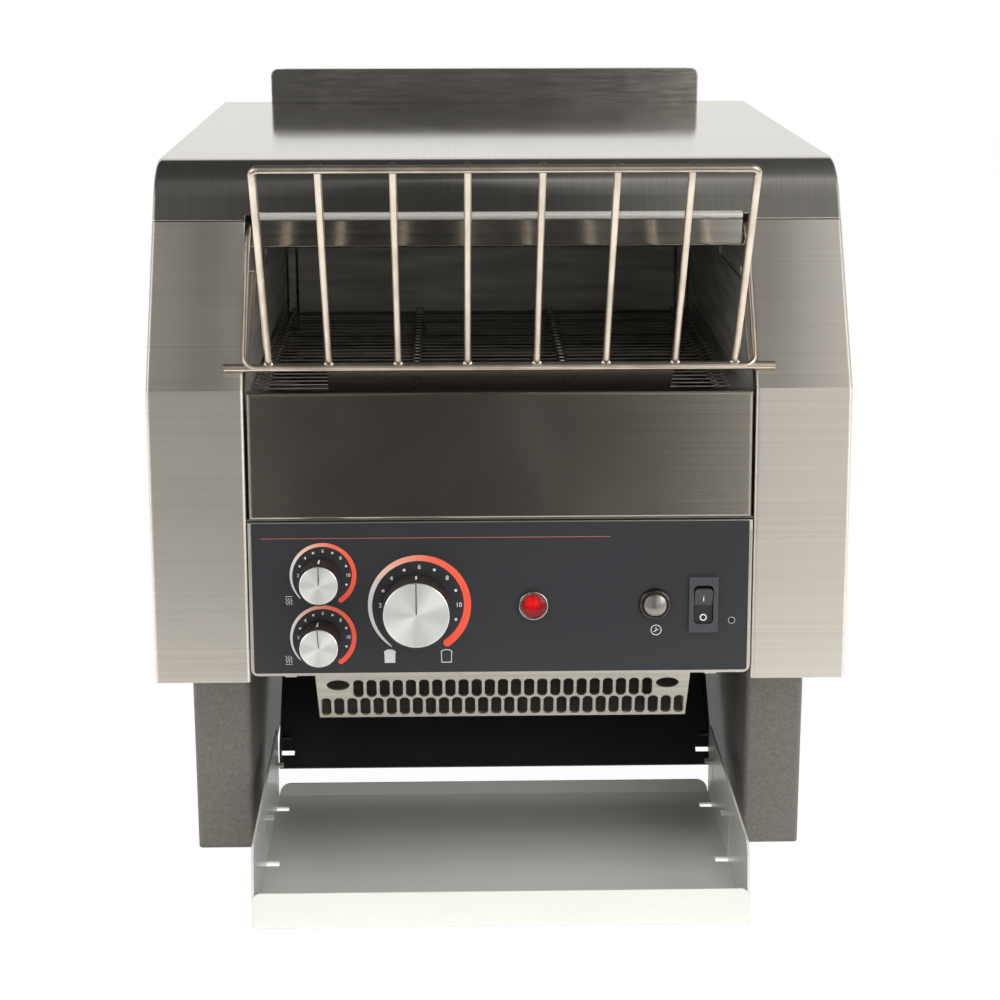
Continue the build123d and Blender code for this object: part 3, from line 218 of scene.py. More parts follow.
# what every metal has where its own look says nothing else; lengths in metres
metalBase = dict(spread=0.10, depth=0.00003, aniso=0.0, turn=0.25, axis="Z", edge=0.0003, marks=0.05,
                 metal=1.0)
brushedLooks = {
    "sideSteel": dict(light="dad4cb", dark="d0cac1", stretch=(5, 5, 3600), rough=0.38, spread=0.03,
                      bump=0.035, aniso=0.7, edge=0.0006, marks=0.04),
    # topSteel's satin entry (height, half width) marks the hem band that gets a painted highlight
    "topSteel": dict(light="dddad3", dark="d3d0c9", stretch=(2600, 5, 5), rough=0.10, spread=0.03, bump=0.04,
                     depth=0.00002, aniso=0.6, axis="X", edge=0.0006, marks=0.03, satin=(0.3587, 0.131)),
    "upstandSteel": dict(light="c8c5be", dark="aeaba4", stretch=(90, 90, 1100), rough=0.14, bump=0.08,
                         aniso=0.4, edge=0.0012, marks=0.06, metal=0.94),
    "frontSteel": dict(light="aaa49a", dark="a09a90", stretch=(5, 5, 3600), rough=0.22, spread=0.03,
                       bump=0.035, aniso=0.7, edge=0.0006, marks=0.04),
    "millSteel": dict(light="b9b8b2", dark="a3a19b", stretch=(10, 500, 500), rough=0.38, bump=0.05,
                      edge=0.0005, marks=0.10),
    "rearSteel": dict(light="b9b8b2", dark="a3a19b", stretch=(5, 5, 2600), rough=0.36, bump=0.08, aniso=0.5,
                      edge=0.0005, marks=0.08),
    "ovenSteel": dict(light="c6c4be", dark="a09e98", stretch=(40, 40, 400), rough=0.50, spread=0.12,
                      bump=0.08, depth=0.00005, edge=0.0005, marks=0.15, metal=0.5),
    "guardSteel": dict(light="e0dad0", dark="cdc7bd", stretch=(12, 900, 900), rough=0.42, spread=0.08,
                       bump=0.05, depth=0.00004, edge=0.0004, marks=0.06, metal=0.55),
    "polishedSteel": dict(light="d0cabf", dark="bdb7ac", stretch=(4, 4, 1500), rough=0.09, spread=0.04,
                          bump=0.02, depth=0.00002, aniso=0.5, turn=0.0),
    "rampSteel": dict(light="8f887c", dark="7b7468", stretch=(4, 4, 900), rough=0.11, spread=0.05, bump=0.02,
                      depth=0.00002, marks=0.08, metal=0.8),
    "zincPlate": dict(light="bdbcb6", dark="9b9a94", stretch=(200, 200, 200), rough=0.32, bump=0.05,
                      depth=0.00004, marks=0.10),
    "platedWire": dict(light="d4c8ba", dark="b9ad9f", stretch=(120, 120, 120), rough=0.30, spread=0.08,
                       bump=0.03, edge=0.0002),
    "beltWire": dict(light="8d8880", dark="6c6861", stretch=(150, 150, 150), rough=0.40, spread=0.12,
                     bump=0.05, edge=0.0002, marks=0.12, metal=0.7),
    "weldMetal": dict(light="f4efe8", dark="d8d2c9", stretch=(400, 400, 400), rough=0.34, bump=0.10,
                      depth=0.00005, edge=0.0002, metal=0.7),
    "chromeRing": dict(light="bdb9b3", dark="a9a59f", stretch=(700, 700, 700), rough=0.20, spread=0.04,
                       bump=0.02, depth=0.00002, marks=0.04),
    "beltHook": dict(light="e6e0d6", dark="bdb7ad", stretch=(150, 150, 150), rough=0.30, bump=0.05,
                     edge=0.0002, marks=0.10),
    "elementSheath": dict(light="5b5450", dark="3a3431", stretch=(180, 40, 180), rough=0.52, bump=0.10,
                          depth=0.00006, marks=0.15),
    "bushBronze": dict(light="c79a5c", dark="9a7240", stretch=(260, 260, 260), rough=0.38, bump=0.06,
                       depth=0.00004, marks=0.10),
    "oiledSteel": dict(light="7e7b76", dark="56534e", stretch=(260, 260, 260), rough=0.34, bump=0.06,
                       depth=0.00004, marks=0.15),
    "pewter": dict(light="8e8a85", dark="827e79", stretch=(700, 700, 700), rough=0.33, spread=0.03,
                   bump=0.0),
    "darkBezel": dict(light="55524e", dark="3f3c39", stretch=(700, 700, 700), rough=0.26, spread=0.05,
                      bump=0.03),
}
paintedHemSheen = {"metal": 0.6, "blendUp": 0.0003, "blendAcross": 0.0001}


def paintHemSheen(tree, shader, place, height, halfWide):
    # the folded hem along the lower front edge is made less metallic than the sheet so that it shows lighter:
    # a painted highlight standing in for the light on the rounded fold
    up, across = paintedHemSheen["blendUp"], paintedHemSheen["blendAcross"]
    split = addNode(tree, "ShaderNodeSeparateXYZ", (-600, 500), {0: place})
    above = mapRange(tree, (-350, 600), split.outputs["Z"], height - up, height + up)
    width = addMath(tree, (-350, 450), "ABSOLUTE", split.outputs["X"])
    beside = mapRange(tree, (-200, 450), width, halfWide - across, halfWide + across)
    plain = addMath(tree, (0, 550), "MAXIMUM", above, beside)
    metal = mapRange(tree, (200, 550), plain, toMin=paintedHemSheen["metal"])
    tree.links.new(metal, shader.inputs["Metallic"])


def makeBrushed(name, changes):
    look = {**metalBase, **changes}
    material, tree, shader, place = startMaterial(name)
    lines = useGroup(tree, "brushLines", (-600, 100), {"Vector": place, "Stretch": look["stretch"]})
    smudge = useGroup(tree, "handMarks", (-600, -200), {"Vector": place, "Scale": 12.0})
    color = mixColors(tree, (-200, 250), lines.outputs["Streak"], shade(look["dark"]), shade(look["light"]))
    worn = addMath(tree, (-350, -200), "MULTIPLY", smudge.outputs["Marks"], look["marks"])
    spread = mapRange(tree, (-350, 0), lines.outputs["Height"], 0.25, 0.75,
                      look["rough"] - look["spread"] / 2, look["rough"] + look["spread"] / 2)
    rough = addMath(tree, (-100, -50), "ADD", spread, worn)
    edges = softEdges(tree, (0, -350), look["edge"])
    bump = addBump(tree, look["bump"], look["depth"], lines.outputs["Height"], edges)
    fillInputs(tree, shader, {"Base Color": color, "Roughness": rough, "Normal": bump,
                              "Metallic": look["metal"]})
    # a painted highlight on the hem band, where the look gives one
    if "satin" in look:
        paintHemSheen(tree, shader, place, *look["satin"])
    if look["aniso"]:
        turnGrain(tree, shader, look["aniso"], look["turn"], look["axis"])
    return material


# the same for paints, plastics and inks
grainBase = dict(depth=0.00003, edge=0.0003, coat=0.0, marks=0.05, metal=0.0)
inkBase = dict(scale=900, rough=0.5, bump=0.02, depth=0.00002, edge=0.0001)
grainLooks = {
    "wrinkleCoat": dict(light="6f6a64", dark="46433e", scale=520, rough=0.50, bump=0.75, depth=0.0004,
                        edge=0.0009, marks=0.08),
    # the toast slide is stainless steel: its near-black colour is a painted reflection of the dark oven
    # interior and painted shade under the body
    "slidePaintedDark": dict(light="2b2b2e", dark="242427", scale=500, rough=0.34, bump=0.05, depth=0.0001,
                        edge=0.0005, coat=0.3, marks=0.10),
    "motorPaint": dict(light="2e2e31", dark="1f1f22", scale=900, rough=0.42, bump=0.20, depth=0.0001,
                       edge=0.0005, marks=0.12),
    "printedFilm": dict(light="26272b", dark="1f2024", scale=1500, rough=0.38, bump=0.12, depth=0.00004,
                        edge=0.0002, marks=0.04),
    "knobGrip": dict(light="2a2624", dark="1c1918", scale=1600, rough=0.40, bump=0.12, depth=0.00004,
                     edge=0.0002, marks=0.06),
    "blackPlastic": dict(light="2f2f31", dark="242426", scale=1500, rough=0.42, bump=0.14, depth=0.00004,
                         marks=0.06),
    "rockerPlastic": dict(light="232326", dark="19191b", scale=1500, rough=0.30, bump=0.06, coat=0.1),
    "framePlastic": dict(light="3f4044", dark="343539", scale=1500, rough=0.40, bump=0.10),
    "smallWindow": dict(light="26262a", dark="1c1c20", scale=1500, rough=0.15, bump=0.02, edge=0.0002,
                        coat=0.3),
    "satinTray": dict(light="c9c9c4", dark="bebeb9", scale=700, rough=0.30, bump=0.06, depth=0.00005,
                      edge=0.0006, marks=0.08, metal=0.35),
    "whiteInk": dict(inkBase, light="d2d1cf", dark="c6c5c3"),
    "redInk": dict(inkBase, light="b25a50", dark="a65248"),
    "blackInk": dict(inkBase, light="1b1a1a", dark="121111"),
}


def makeGrained(name, changes):
    look = {**grainBase, **changes}
    material, tree, shader, place = startMaterial(name)
    grain = useGroup(tree, "fineGrain", (-600, 100), {"Vector": place, "Scale": look["scale"]})
    smudge = useGroup(tree, "handMarks", (-600, -200), {"Vector": place, "Scale": 16.0})
    color = mixColors(tree, (-200, 250), grain.outputs["Height"], shade(look["dark"]), shade(look["light"]))
    rough = mapRange(tree, (-200, -50), smudge.outputs["Marks"], toMin=look["rough"],
                     toMax=look["rough"] + look["marks"])
    edges = softEdges(tree, (0, -350), look["edge"])
    bump = addBump(tree, look["bump"], look["depth"], grain.outputs["Height"], edges)
    fillInputs(tree, shader, {"Base Color": color, "Roughness": rough, "Normal": bump,
                              "Metallic": look["metal"], "Coat Weight": look["coat"], "Coat Roughness": 0.1})
    return material


materials = {name: makeBrushed(name, look) for name, look in brushedLooks.items()}
materials.update({name: makeGrained(name, look) for name, look in grainLooks.items()})


lens = {"middle": (0.0162, -0.2110, 0.1600), "bright": 0.0012, "rim": 0.0066, "light": "e60006",
        "deep": "780008", "prisms": 900.0, "prismShare": 0.45, "glow": 0.06, "rough": 0.30, "shine": 0.12,
        "coat": 0.25}


def makeLensRed():
    # bright in its middle as a painted highlight, deep red towards the rim as painted shade, with the small
    # prisms of the moulding
    material, tree, shader, place = startMaterial("lensRed")
    grain = useGroup(tree, "fineGrain", (-900, 300), {"Vector": place, "Scale": lens["prisms"]})
    away = addNode(tree, "ShaderNodeVectorMath", (-700, 0), {0: place, 1: lens["middle"]},
                   operation="DISTANCE")
    share = mapRange(tree, (-500, 0), away.outputs["Value"], lens["bright"], lens["rim"])
    fleck = addMath(tree, (-500, 300), "MULTIPLY", grain.outputs["Fleck"], lens["prismShare"])
    amount = addMath(tree, (-350, 100), "ADD", share, fleck, use_clamp=True)
    color = mixColors(tree, (-200, 250), amount, shade(lens["light"]), shade(lens["deep"]))
    fillInputs(tree, shader, {"Base Color": color, "Emission Color": color, "Emission Strength": lens["glow"],
                              "Roughness": lens["rough"], "Specular IOR Level": lens["shine"],
                              "Coat Weight": lens["coat"], "Coat Roughness": 0.05})
    return material


spunLook = {"light": "f8f8f4", "dark": "e6e6e2", "rough": (0.30, 0.38), "bump": 0.25, "depth": 0.00005,
            "metal": 0.85, "aniso": 0.85}


def makeSpunFace():
    # face turned on a lathe: fine rings round the dial's own middle
    material, tree, shader = startMaterial("spunFace")[:3]
    ring = addNode(tree, "ShaderNodeAttribute", (-700, 200), attribute_name="ring")
    rings = addNode(tree, "ShaderNodeTexNoise", (-450, 200),
                    {"W": ring.outputs["Fac"], "Scale": 1.0, "Detail": 2.0}, noise_dimensions="1D")
    lines = rings.outputs["Fac"]
    color = mixColors(tree, (-200, 250), lines, shade(spunLook["dark"]), shade(spunLook["light"]))
    rough = mapRange(tree, (-200, -50), lines, toMin=spunLook["rough"][0], toMax=spunLook["rough"][1])
    bump = addBump(tree, spunLook["bump"], spunLook["depth"], lines)
    fillInputs(tree, shader, {"Base Color": color, "Roughness": rough, "Normal": bump,
                              "Metallic": spunLook["metal"]})
    turnGrain(tree, shader, spunLook["aniso"], 0.25, "Y")
    return material


floorLook = {"light": "f4f4f3", "dark": "f0f0ef", "rough": 0.7, "shine": 0.2, "glow": 0.55, "seenShare": 0.95}


def makePaleFloor():
    # lit from below, as on a light table, so that it stays near white under the object
    material, tree, shader, place = startMaterial("paleFloor")
    smudge = useGroup(tree, "handMarks", (-600, 0), {"Vector": place, "Scale": 3.0})
    color = mixColors(tree, (-200, 250), smudge.outputs["Marks"], shade(floorLook["light"]),
                      shade(floorLook["dark"]))
    fillInputs(tree, shader, {"Base Color": color, "Roughness": floorLook["rough"],
                              "Specular IOR Level": floorLook["shine"]})
    white = (1, 1, 1, 1)
    glow = addNode(tree, "ShaderNodeEmission", (600, -700), {"Color": white, "Strength": floorLook["glow"]})
    seenGlow = addNode(tree, "ShaderNodeEmission", (600, -850), {"Color": white, "Strength": 1.0})
    lit = addNode(tree, "ShaderNodeAddShader", (800, -300), {0: shader.outputs[0], 1: glow.outputs[0]})
    ray = addNode(tree, "ShaderNodeLightPath", (600, 400))
    part = addMath(tree, (800, 300), "MULTIPLY", ray.outputs["Is Camera Ray"], floorLook["seenShare"])
    both = addNode(tree, "ShaderNodeMixShader", (1000, 0),
                   {0: part, 1: lit.outputs[0], 2: seenGlow.outputs[0]})
    tree.links.new(both.outputs[0], tree.nodes["Material Output"].inputs[0])
    return material


# white at a scale's thin end, through peach, to red
scaleStops = [(0.0, "c6c5c3"), (0.26, "ccc8c6"), (0.34, "dab6a8"), (0.44, "e0967e"), (0.55, "e2634c"),
              (0.75, "e64f37"), (1.0, "e44b33")]


def makeScaleInk():
    material, tree, shader, place = startMaterial("scaleInk")
    turn = addNode(tree, "ShaderNodeAttribute", (-700, 200), attribute_name="turn")
    ramp = addNode(tree, "ShaderNodeValToRGB", (-450, 200), {"Fac": turn.outputs["Fac"]})
    color = fillRamp(ramp, [(position, shade(code)) for position, code in scaleStops])
    grain = useGroup(tree, "fineGrain", (-700, -100), {"Vector": place, "Scale": 900.0})
    rough = mapRange(tree, (-200, -50), grain.outputs["Height"], toMin=0.4, toMax=0.55)
    fillInputs(tree, shader, {"Base Color": color, "Roughness": rough})
    return material


for makeOne in (makeLensRed, makePaleFloor, makeSpunFace, makeScaleInk):
    made = makeOne()
    materials[made.name] = made
print("materials made:", len(materials))

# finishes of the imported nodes
nodeFinish = {
    "wrinkleCoat": ["left_leg", "right_leg"],
    "millSteel": ["base_plate", "crumb_shelf", "control_pan", "crumb_tray"],
    "zincPlate": ["leg_bolts", "cover_screws"],
    "sideSteel": ["left_side_cover", "right_side_cover", "control_panel"],
    "rearSteel": ["rear_cover"],
    "topSteel": ["top_cover"],
    "upstandSteel": ["rear_upstand"],
    "ovenSteel": ["left_inner_wall", "right_inner_wall", "back_wall", "heater_housing", "element_supports"],
    "polishedSteel": ["heater_guard"],
    "chromeRing": ["lamp_bezel"],
    "rampSteel": ["rack_ramp"],
    "elementSheath": ["upper_elements", "lower_elements"],
    "bushBronze": ["shaft_bearings"],
    "beltWire": ["conveyor_belt"],
    "oiledSteel": ["drive_chain", "front_shaft", "front_sprockets", "rear_shaft", "rear_sprockets",
                   "chain_wheel", "motor_pinion"],
    "motorPaint": ["gearmotor"],
    "guardSteel": ["air_guard"],
    # the stainless toast slide takes the near-black painted reflection and shade
    "slidePaintedDark": ["toast_slide"],
    "printedFilm": ["control_overlay"],
    "blackPlastic": ["cord_gland", "heat_switches", "speed_control", "terminal_block", "fan_frame",
                     "fan_rotor"],
    "framePlastic": ["rocker_frame"],
    "rockerPlastic": ["power_rocker"],
    "darkBezel": ["save_button_bezel"],
    "pewter": ["save_button"],
    "lensRed": ["lamp_lens"],
    "smallWindow": ["indicator_light"],
    "frontSteel": ["front_panel"],
    "satinTray": ["collection_tray"],
    "platedWire": ["rack_wires", "rack_rod", "rack_hanger"],
    "knobGrip": ["upper_heat_knob", "lower_heat_knob", "speed_knob"],
    "spunFace": ["upper_heat_knob_cap", "lower_heat_knob_cap", "speed_knob_cap"],
}
for finish, names in nodeFinish.items():
    for name in names:
        if not nodes[name].material_slots:
            nodes[name].data.materials.append(materials[finish])
        for nodeSlot in nodes[name].material_slots:
            nodeSlot.material = materials[finish]
print("finishes on", sum(len(names) for names in nodeFinish.values()), "nodes")

# new pieces are made in millimetres; the panel's plane leans back a little
mm = 0.001
panel = {"middleY": -208.107, "middleZ": 158.4, "lean": math.atan2(4.0, 87.5), "filmRise": 0.3}
inkThick = 0.05


def panelPlace():
    # from panel millimetres (across, up, out) to the frame, in metres
    lean = panel["lean"]
    place = Matrix(((1, 0, 0, 0),
                    (0, math.sin(lean), -math.cos(lean), panel["middleY"]),
                    (0, math.cos(lean), math.sin(lean), panel["middleZ"]),
                    (0, 0, 0, 1)))
    return Matrix.Scale(mm, 4) @ place


def printPlace():
    return panelPlace() @ Matrix.Translation((0, 0, panel["filmRise"] + inkThick / 2))


def onPanel(x, z):
    return x, (z - panel["middleZ"]) / math.cos(panel["lean"])


def startPiece():
    if bpy.context.object and bpy.context.object.mode != "OBJECT":
        bpy.ops.object.mode_set(mode="OBJECT")
    bpy.ops.object.select_all(action="DESELECT")


def finishPiece(piece, name, body, material, place=None, smooth=None):
    # the place goes into the mesh, and the object stays at the origin
    piece.name = name
    piece.data.name = name
    bpy.context.view_layer.update()
    piece.data.transform((place or Matrix.Identity(4)) @ piece.matrix_world)
    piece.matrix_world = Matrix.Identity(4)
    piece.data.materials.clear()
    piece.data.materials.append(materials[material])
    if smooth:
        startPiece()
        piece.select_set(True)
        bpy.context.view_layer.objects.active = piece
        bpy.ops.object.shade_smooth_by_angle(angle=math.radians(smooth))
    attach(piece, body)
    return piece


def joinPieces(pieces):
    startPiece()
    for piece in pieces:
        piece.select_set(True)
    bpy.context.view_layer.objects.active = pieces[0]
    bpy.ops.object.join()
    return bpy.context.object


def meshFromRuns(name, runs, closed, **settings):
    # one mesh from straight-sided curves
    curve = bpy.data.curves.new(name, "CURVE")
    for key, value in settings.items():
        setattr(curve, key, value)
    for points in runs:
        spline = curve.splines.new("POLY")
        spline.points.add(len(points) - 1)
        for point, co in zip(spline.points, points):
            point.co = (*co, 1)
        spline.use_cyclic_u = closed
    startPiece()
    piece = bpy.data.objects.new(name, curve)
    bpy.context.scene.collection.objects.link(piece)
    piece.select_set(True)
    bpy.context.view_layer.objects.active = piece
    bpy.ops.object.convert(target="MESH")
    return bpy.context.object


def flatShape(outlines, thick):
    # a thin printed shape from closed outlines; an outline inside another makes a hole
    runs = [[(x, y, 0) for x, y in outline] for outline in outlines]
    return meshFromRuns("print", runs, True, dimensions="2D", fill_mode="BOTH", extrude=thick / 2)


def clockPoint(x, y, radius, angle):
    # the angle runs clockwise from the top
    return x + radius * math.sin(angle), y + radius * math.cos(angle)


def ringPoints(x, y, radius, count):
    angles = [2 * math.pi * k / count for k in range(count)]
    return [(x + radius * math.cos(angle), y + radius * math.sin(angle)) for angle in angles]


def barPoints(x0, y0, x1, y1):
    return [(x0, y0), (x1, y0), (x1, y1), (x0, y1)]


# scales round the dials: at is (across, height) on the front, and turns are degrees clockwise from the top
smallScale = dict(outer=17.6, thick=2.6, turns=(-136, 146), marks=13.2, dot=0.62, text=2.5)
dialScales = {
    "upper": dict(smallScale, at=(-93.8, 175.4)),
    "lower": dict(smallScale, at=(-94.3, 141.6)),
    "speed": dict(at=(-43.1, 158.8), outer=27.3, thick=4.1, turns=(-147, 145), marks=20.8, dot=0.80,
                  text=3.4),
}
scaleShape = {"thin": 0.25, "growth": 0.42, "steps": 72, "capSteps": 12, "slack": 0.3}
dialMarks = {"count": 11, "first": -112.5, "step": 22.5, "dotSides": 16, "bold": 0.04}


def makeScale(name, scale):
    # a band that widens clockwise from a thin end to a round one
    x, y = onPanel(*scale["at"])
    first, last = (math.radians(a) for a in scale["turns"])
    outerSide, innerSide = [], []
    for k in range(scaleShape["steps"] + 1):
        share = k / scaleShape["steps"]
        angle = first + (last - first) * share
        thick = scaleShape["thin"] + (scale["thick"] - scaleShape["thin"]) * share ** scaleShape["growth"]
        outerSide.append(clockPoint(x, y, scale["outer"], angle))
        innerSide.append(clockPoint(x, y, scale["outer"] - thick, angle))
    endX, endY = clockPoint(x, y, scale["outer"] - scale["thick"] / 2, last)
    capAngles = [last + math.pi * k / scaleShape["capSteps"] for k in range(1, scaleShape["capSteps"])]
    cap = [clockPoint(endX, endY, scale["thick"] / 2, angle) for angle in capAngles]
    piece = flatShape([outerSide + cap + innerSide[::-1]], inkThick)
    turn = piece.data.attributes.new("turn", "FLOAT", "POINT")
    for vertex in piece.data.vertices:
        angle = math.atan2(vertex.co.x - x, vertex.co.y - y)
        if angle < first - scaleShape["slack"]:
            angle += 2 * math.pi
        turn.data[vertex.index].value = min(max((angle - first) / (last - first), 0.0), 1.0)
    return finishPiece(piece, name + "Scale", "chassis", "scaleInk", printPlace())


def numberMesh(text, x, y, size):
    startPiece()
    bpy.ops.object.text_add()
    words = bpy.context.object
    words.data.body = text
    words.data.size = size
    words.data.align_x = "CENTER"
    words.data.align_y = "CENTER"
    words.data.extrude = inkThick / 2
    words.data.offset = dialMarks["bold"]
    bpy.ops.object.convert(target="MESH")
    words = bpy.context.object
    words.data.transform(Matrix.Translation((x, y, 0)))
    return words


def makeDialMarks(name, scale):
    # dots and even numbers in turn
    x, y = onPanel(*scale["at"])
    dots, numbers = [], []
    for k in range(dialMarks["count"]):
        angle = math.radians(dialMarks["first"] + dialMarks["step"] * k)
        markX, markY = clockPoint(x, y, scale["marks"], angle)
        if k % 2:
            numbers.append(numberMesh(str(k + 1), markX, markY, scale["text"]))
        else:
            dots.append(ringPoints(markX, markY, scale["dot"], dialMarks["dotSides"]))
    piece = joinPieces([flatShape(dots, inkThick)] + numbers)
    return finishPiece(piece, name + "Numbers", "chassis", "whiteInk", printPlace())


for dialName, dialScale in dialScales.items():
    makeScale(dialName, dialScale)
    makeDialMarks(dialName, dialScale)

heatIcon = {"at": [(-112.0, 161.8, 1), (-112.7, 129.3, -1)],     # the last value is 1 where the bar is on top
            "bar": (2.2, 2.45), "half": 1.9, "low": 2.3, "high": 1.5, "apart": 1.25, "line": 0.32,
            "swing": 0.35, "steps": 12}
toastIcon = {"light": (-59.1, 131.0), "dark": (-29.0, 130.9), "wide": 6.2, "tall": 7.4, "line": 0.42,
             "foot": 0.90, "side": 0.93, "shoulder": 0.35, "domeLow": 0.55, "domeTall": 0.45, "bulge": 1.02,
             "steps": 8}
saveIcon = {"at": (82.5, 144.2), "ring": (2.9, 2.5), "upright": (-0.2, -0.2, 0.2, 1.6),
            "stroke": [(-1.5, -0.9), (-1.2, -1.2), (1.5, 0.3), (1.2, 0.6)]}
windowRing = {"at": (122.7, 149.2), "ring": (1.85, 1.6)}
redLine = {"height": 195.4, "ends": (-126.0, 58.0), "half": 0.16}


def wavyStroke(x, low, high):
    left, right = [], []
    for k in range(heatIcon["steps"] + 1):
        y = low + (high - low) * k / heatIcon["steps"]
        shift = heatIcon["swing"] * math.sin(2 * math.pi * k / (heatIcon["steps"] / 2))
        left.append((x + shift - heatIcon["line"] / 2, y))
        right.append((x + shift + heatIcon["line"] / 2, y))
    return left + right[::-1]


def toastOutline(x, y, inset):
    # a slice with a domed top
    w, h = toastIcon["wide"] / 2 - inset, toastIcon["tall"] / 2 - inset
    foot, side, steps = w * toastIcon["foot"], w * toastIcon["side"], toastIcon["steps"]
    points = [(x - foot, y - h), (x + foot, y - h), (x + side, y + h * toastIcon["shoulder"])]
    for k in range(steps + 1):
        angle = math.pi * k / steps
        bulge = 1.0 if 0 < k < steps else toastIcon["bulge"]
        dome = h * toastIcon["domeLow"] + h * toastIcon["domeTall"] * math.sin(angle)
        points.append((x + w * math.cos(angle) * bulge, y + dome))
    points.append((x - side, y + h * toastIcon["shoulder"]))
    return points


def makeIcons():
    shapes = []
    for x, z, flip in heatIcon["at"]:
        x, y = onPanel(x, z)
        low, high = sorted(y + flip * edge for edge in heatIcon["bar"])
        shapes.append(barPoints(x - heatIcon["half"], low, x + heatIcon["half"], high))
        low, high = sorted((y - flip * heatIcon["low"], y + flip * heatIcon["high"]))
        shapes += [wavyStroke(x + step * heatIcon["apart"], low, high) for step in (-1, 0, 1)]
    shapes.append(toastOutline(*onPanel(*toastIcon["light"]), 0.0))
    shapes += [toastOutline(*onPanel(*toastIcon["dark"]), inset) for inset in (0.0, toastIcon["line"])]
    x, y = onPanel(*saveIcon["at"])
    x0, y0, x1, y1 = saveIcon["upright"]
    shapes += [ringPoints(x, y, radius, 32) for radius in saveIcon["ring"]]
    shapes += [barPoints(x + x0, y + y0, x + x1, y + y1), [(x + px, y + py) for px, py in saveIcon["stroke"]]]
    shapes += [ringPoints(*onPanel(*windowRing["at"]), radius, 24) for radius in windowRing["ring"]]
    piece = flatShape(shapes, inkThick)
    return finishPiece(piece, "panelIcons", "chassis", "whiteInk", printPlace())


def makeRedLine():
    x0, x1 = redLine["ends"]
    y = onPanel(0, redLine["height"])[1]
    piece = flatShape([barPoints(x0, y - redLine["half"], x1, y + redLine["half"])], inkThick)
    return finishPiece(piece, "redLine", "chassis", "redInk", printPlace())


makeIcons()
makeRedLine()
print("panel print made")

# knobs: radii of face and grip, and turn in degrees
smallKnob = dict(face=10.0, grip=11.1, ribs=44, line=0.45)
knobs = {
    "upper_heat_knob": dict(smallKnob, body="upper_heat_dial", at=(-95.2, 174.7), turn=0.0),
    "lower_heat_knob": dict(smallKnob, body="lower_heat_dial", at=(-95.7, 140.9), turn=4.0),
    "speed_knob": dict(body="speed_dial", at=(-44.6, 158.4), face=17.3, grip=18.6, ribs=72, line=0.55,
                       turn=0.0),
}
# the two shapes are in panel millimetres, and back and front are heights out from the panel
gripShape = {"back": 2.2, "front": 19.5, "chamfer": 0.45, "lift": 0.5, "gap": 0.12, "recess": 1.5,
             "groove": 0.55, "skirt": 0.955}
faceShape = {"thick": 2.0, "sink": 0.55, "chamfer": 0.35, "lift": 0.25, "rings": 5, "ringGap": 6.5,
             "linesPerMm": 6.0}
pointer = {"start": 0.3, "short": 0.35, "thick": 0.06, "above": 0.03,
           "tick": (-0.45, 9.0, 0.45, 17.0), "tickThick": 0.08, "tickAbove": 0.02}
near = 0.1      # how close a place has to be to count as the same


def knobPlace(knob):
    x, y = onPanel(*knob["at"])
    return panelPlace() @ Matrix.Translation((x, y, 0)) @ Matrix.Rotation(math.radians(knob["turn"]), 4, "Z")


def selectVertices(piece, wanted):
    bpy.ops.object.mode_set(mode="OBJECT")
    for part in (piece.data.polygons, piece.data.edges, piece.data.vertices):
        for element in part:
            element.select = False
    for vertex in piece.data.vertices:
        vertex.select = bool(wanted(vertex.co))
    bpy.ops.object.mode_set(mode="EDIT")
    bpy.ops.mesh.select_mode(type="VERT")


def selectFaces(piece, wanted):
    bpy.ops.object.mode_set(mode="OBJECT")
    for part in (piece.data.vertices, piece.data.edges):
        for element in part:
            element.select = False
    for face in piece.data.polygons:
        face.select = bool(wanted(face))
    bpy.ops.object.mode_set(mode="EDIT")
    bpy.ops.mesh.select_mode(type="FACE")


def addDrum(sides, radius, depth, middle):
    startPiece()
    bpy.ops.mesh.primitive_cylinder_add(vertices=sides, radius=radius, depth=depth, location=(0, 0, middle))
    drum = bpy.context.object
    bpy.ops.object.transform_apply(location=True)
    bpy.ops.object.mode_set(mode="EDIT")
    return drum


def makeGrip(name, knob):
    # a drum whose every other edge stands in, with a stepped rim round the face
    depth = gripShape["front"] - gripShape["back"]
    middle = gripShape["back"] + depth / 2
    grip = addDrum(2 * knob["ribs"], knob["grip"], depth, middle)
    selectFaces(grip, lambda face: face.normal.z > 0.9 and face.center.z > middle)
    bpy.ops.mesh.inset(thickness=gripShape["chamfer"], use_even_offset=True)
    bpy.ops.transform.translate(value=(0, 0, gripShape["lift"]))
    rim = knob["grip"] - gripShape["chamfer"] - knob["face"] - gripShape["gap"]
    bpy.ops.mesh.inset(thickness=rim, use_even_offset=True)
    bpy.ops.mesh.extrude_region_move(TRANSFORM_OT_translate={"value": (0, 0, -gripShape["recess"])})
    step = math.pi / knob["ribs"]

    def onRib(co):
        outside = math.hypot(co.x, co.y) > knob["grip"] - near
        return outside and round(math.atan2(co.x, co.y) / step) % 2 == 0

    selectVertices(grip, onRib)
    inward = 1 - gripShape["groove"] / knob["grip"]
    bpy.ops.transform.resize(value=(inward, inward, 1.0), center_override=(0, 0, 0))
    selectVertices(grip, lambda co: co.z < gripShape["back"] + near)
    bpy.ops.transform.resize(value=(gripShape["skirt"], gripShape["skirt"], 1.0), center_override=(0, 0, 0))
    bpy.ops.object.mode_set(mode="OBJECT")
    piece = finishPiece(grip, knob["body"] + "_grip", knob["body"], "knobGrip", knobPlace(knob),
                        smooth=25)
    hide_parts(name)
    return piece


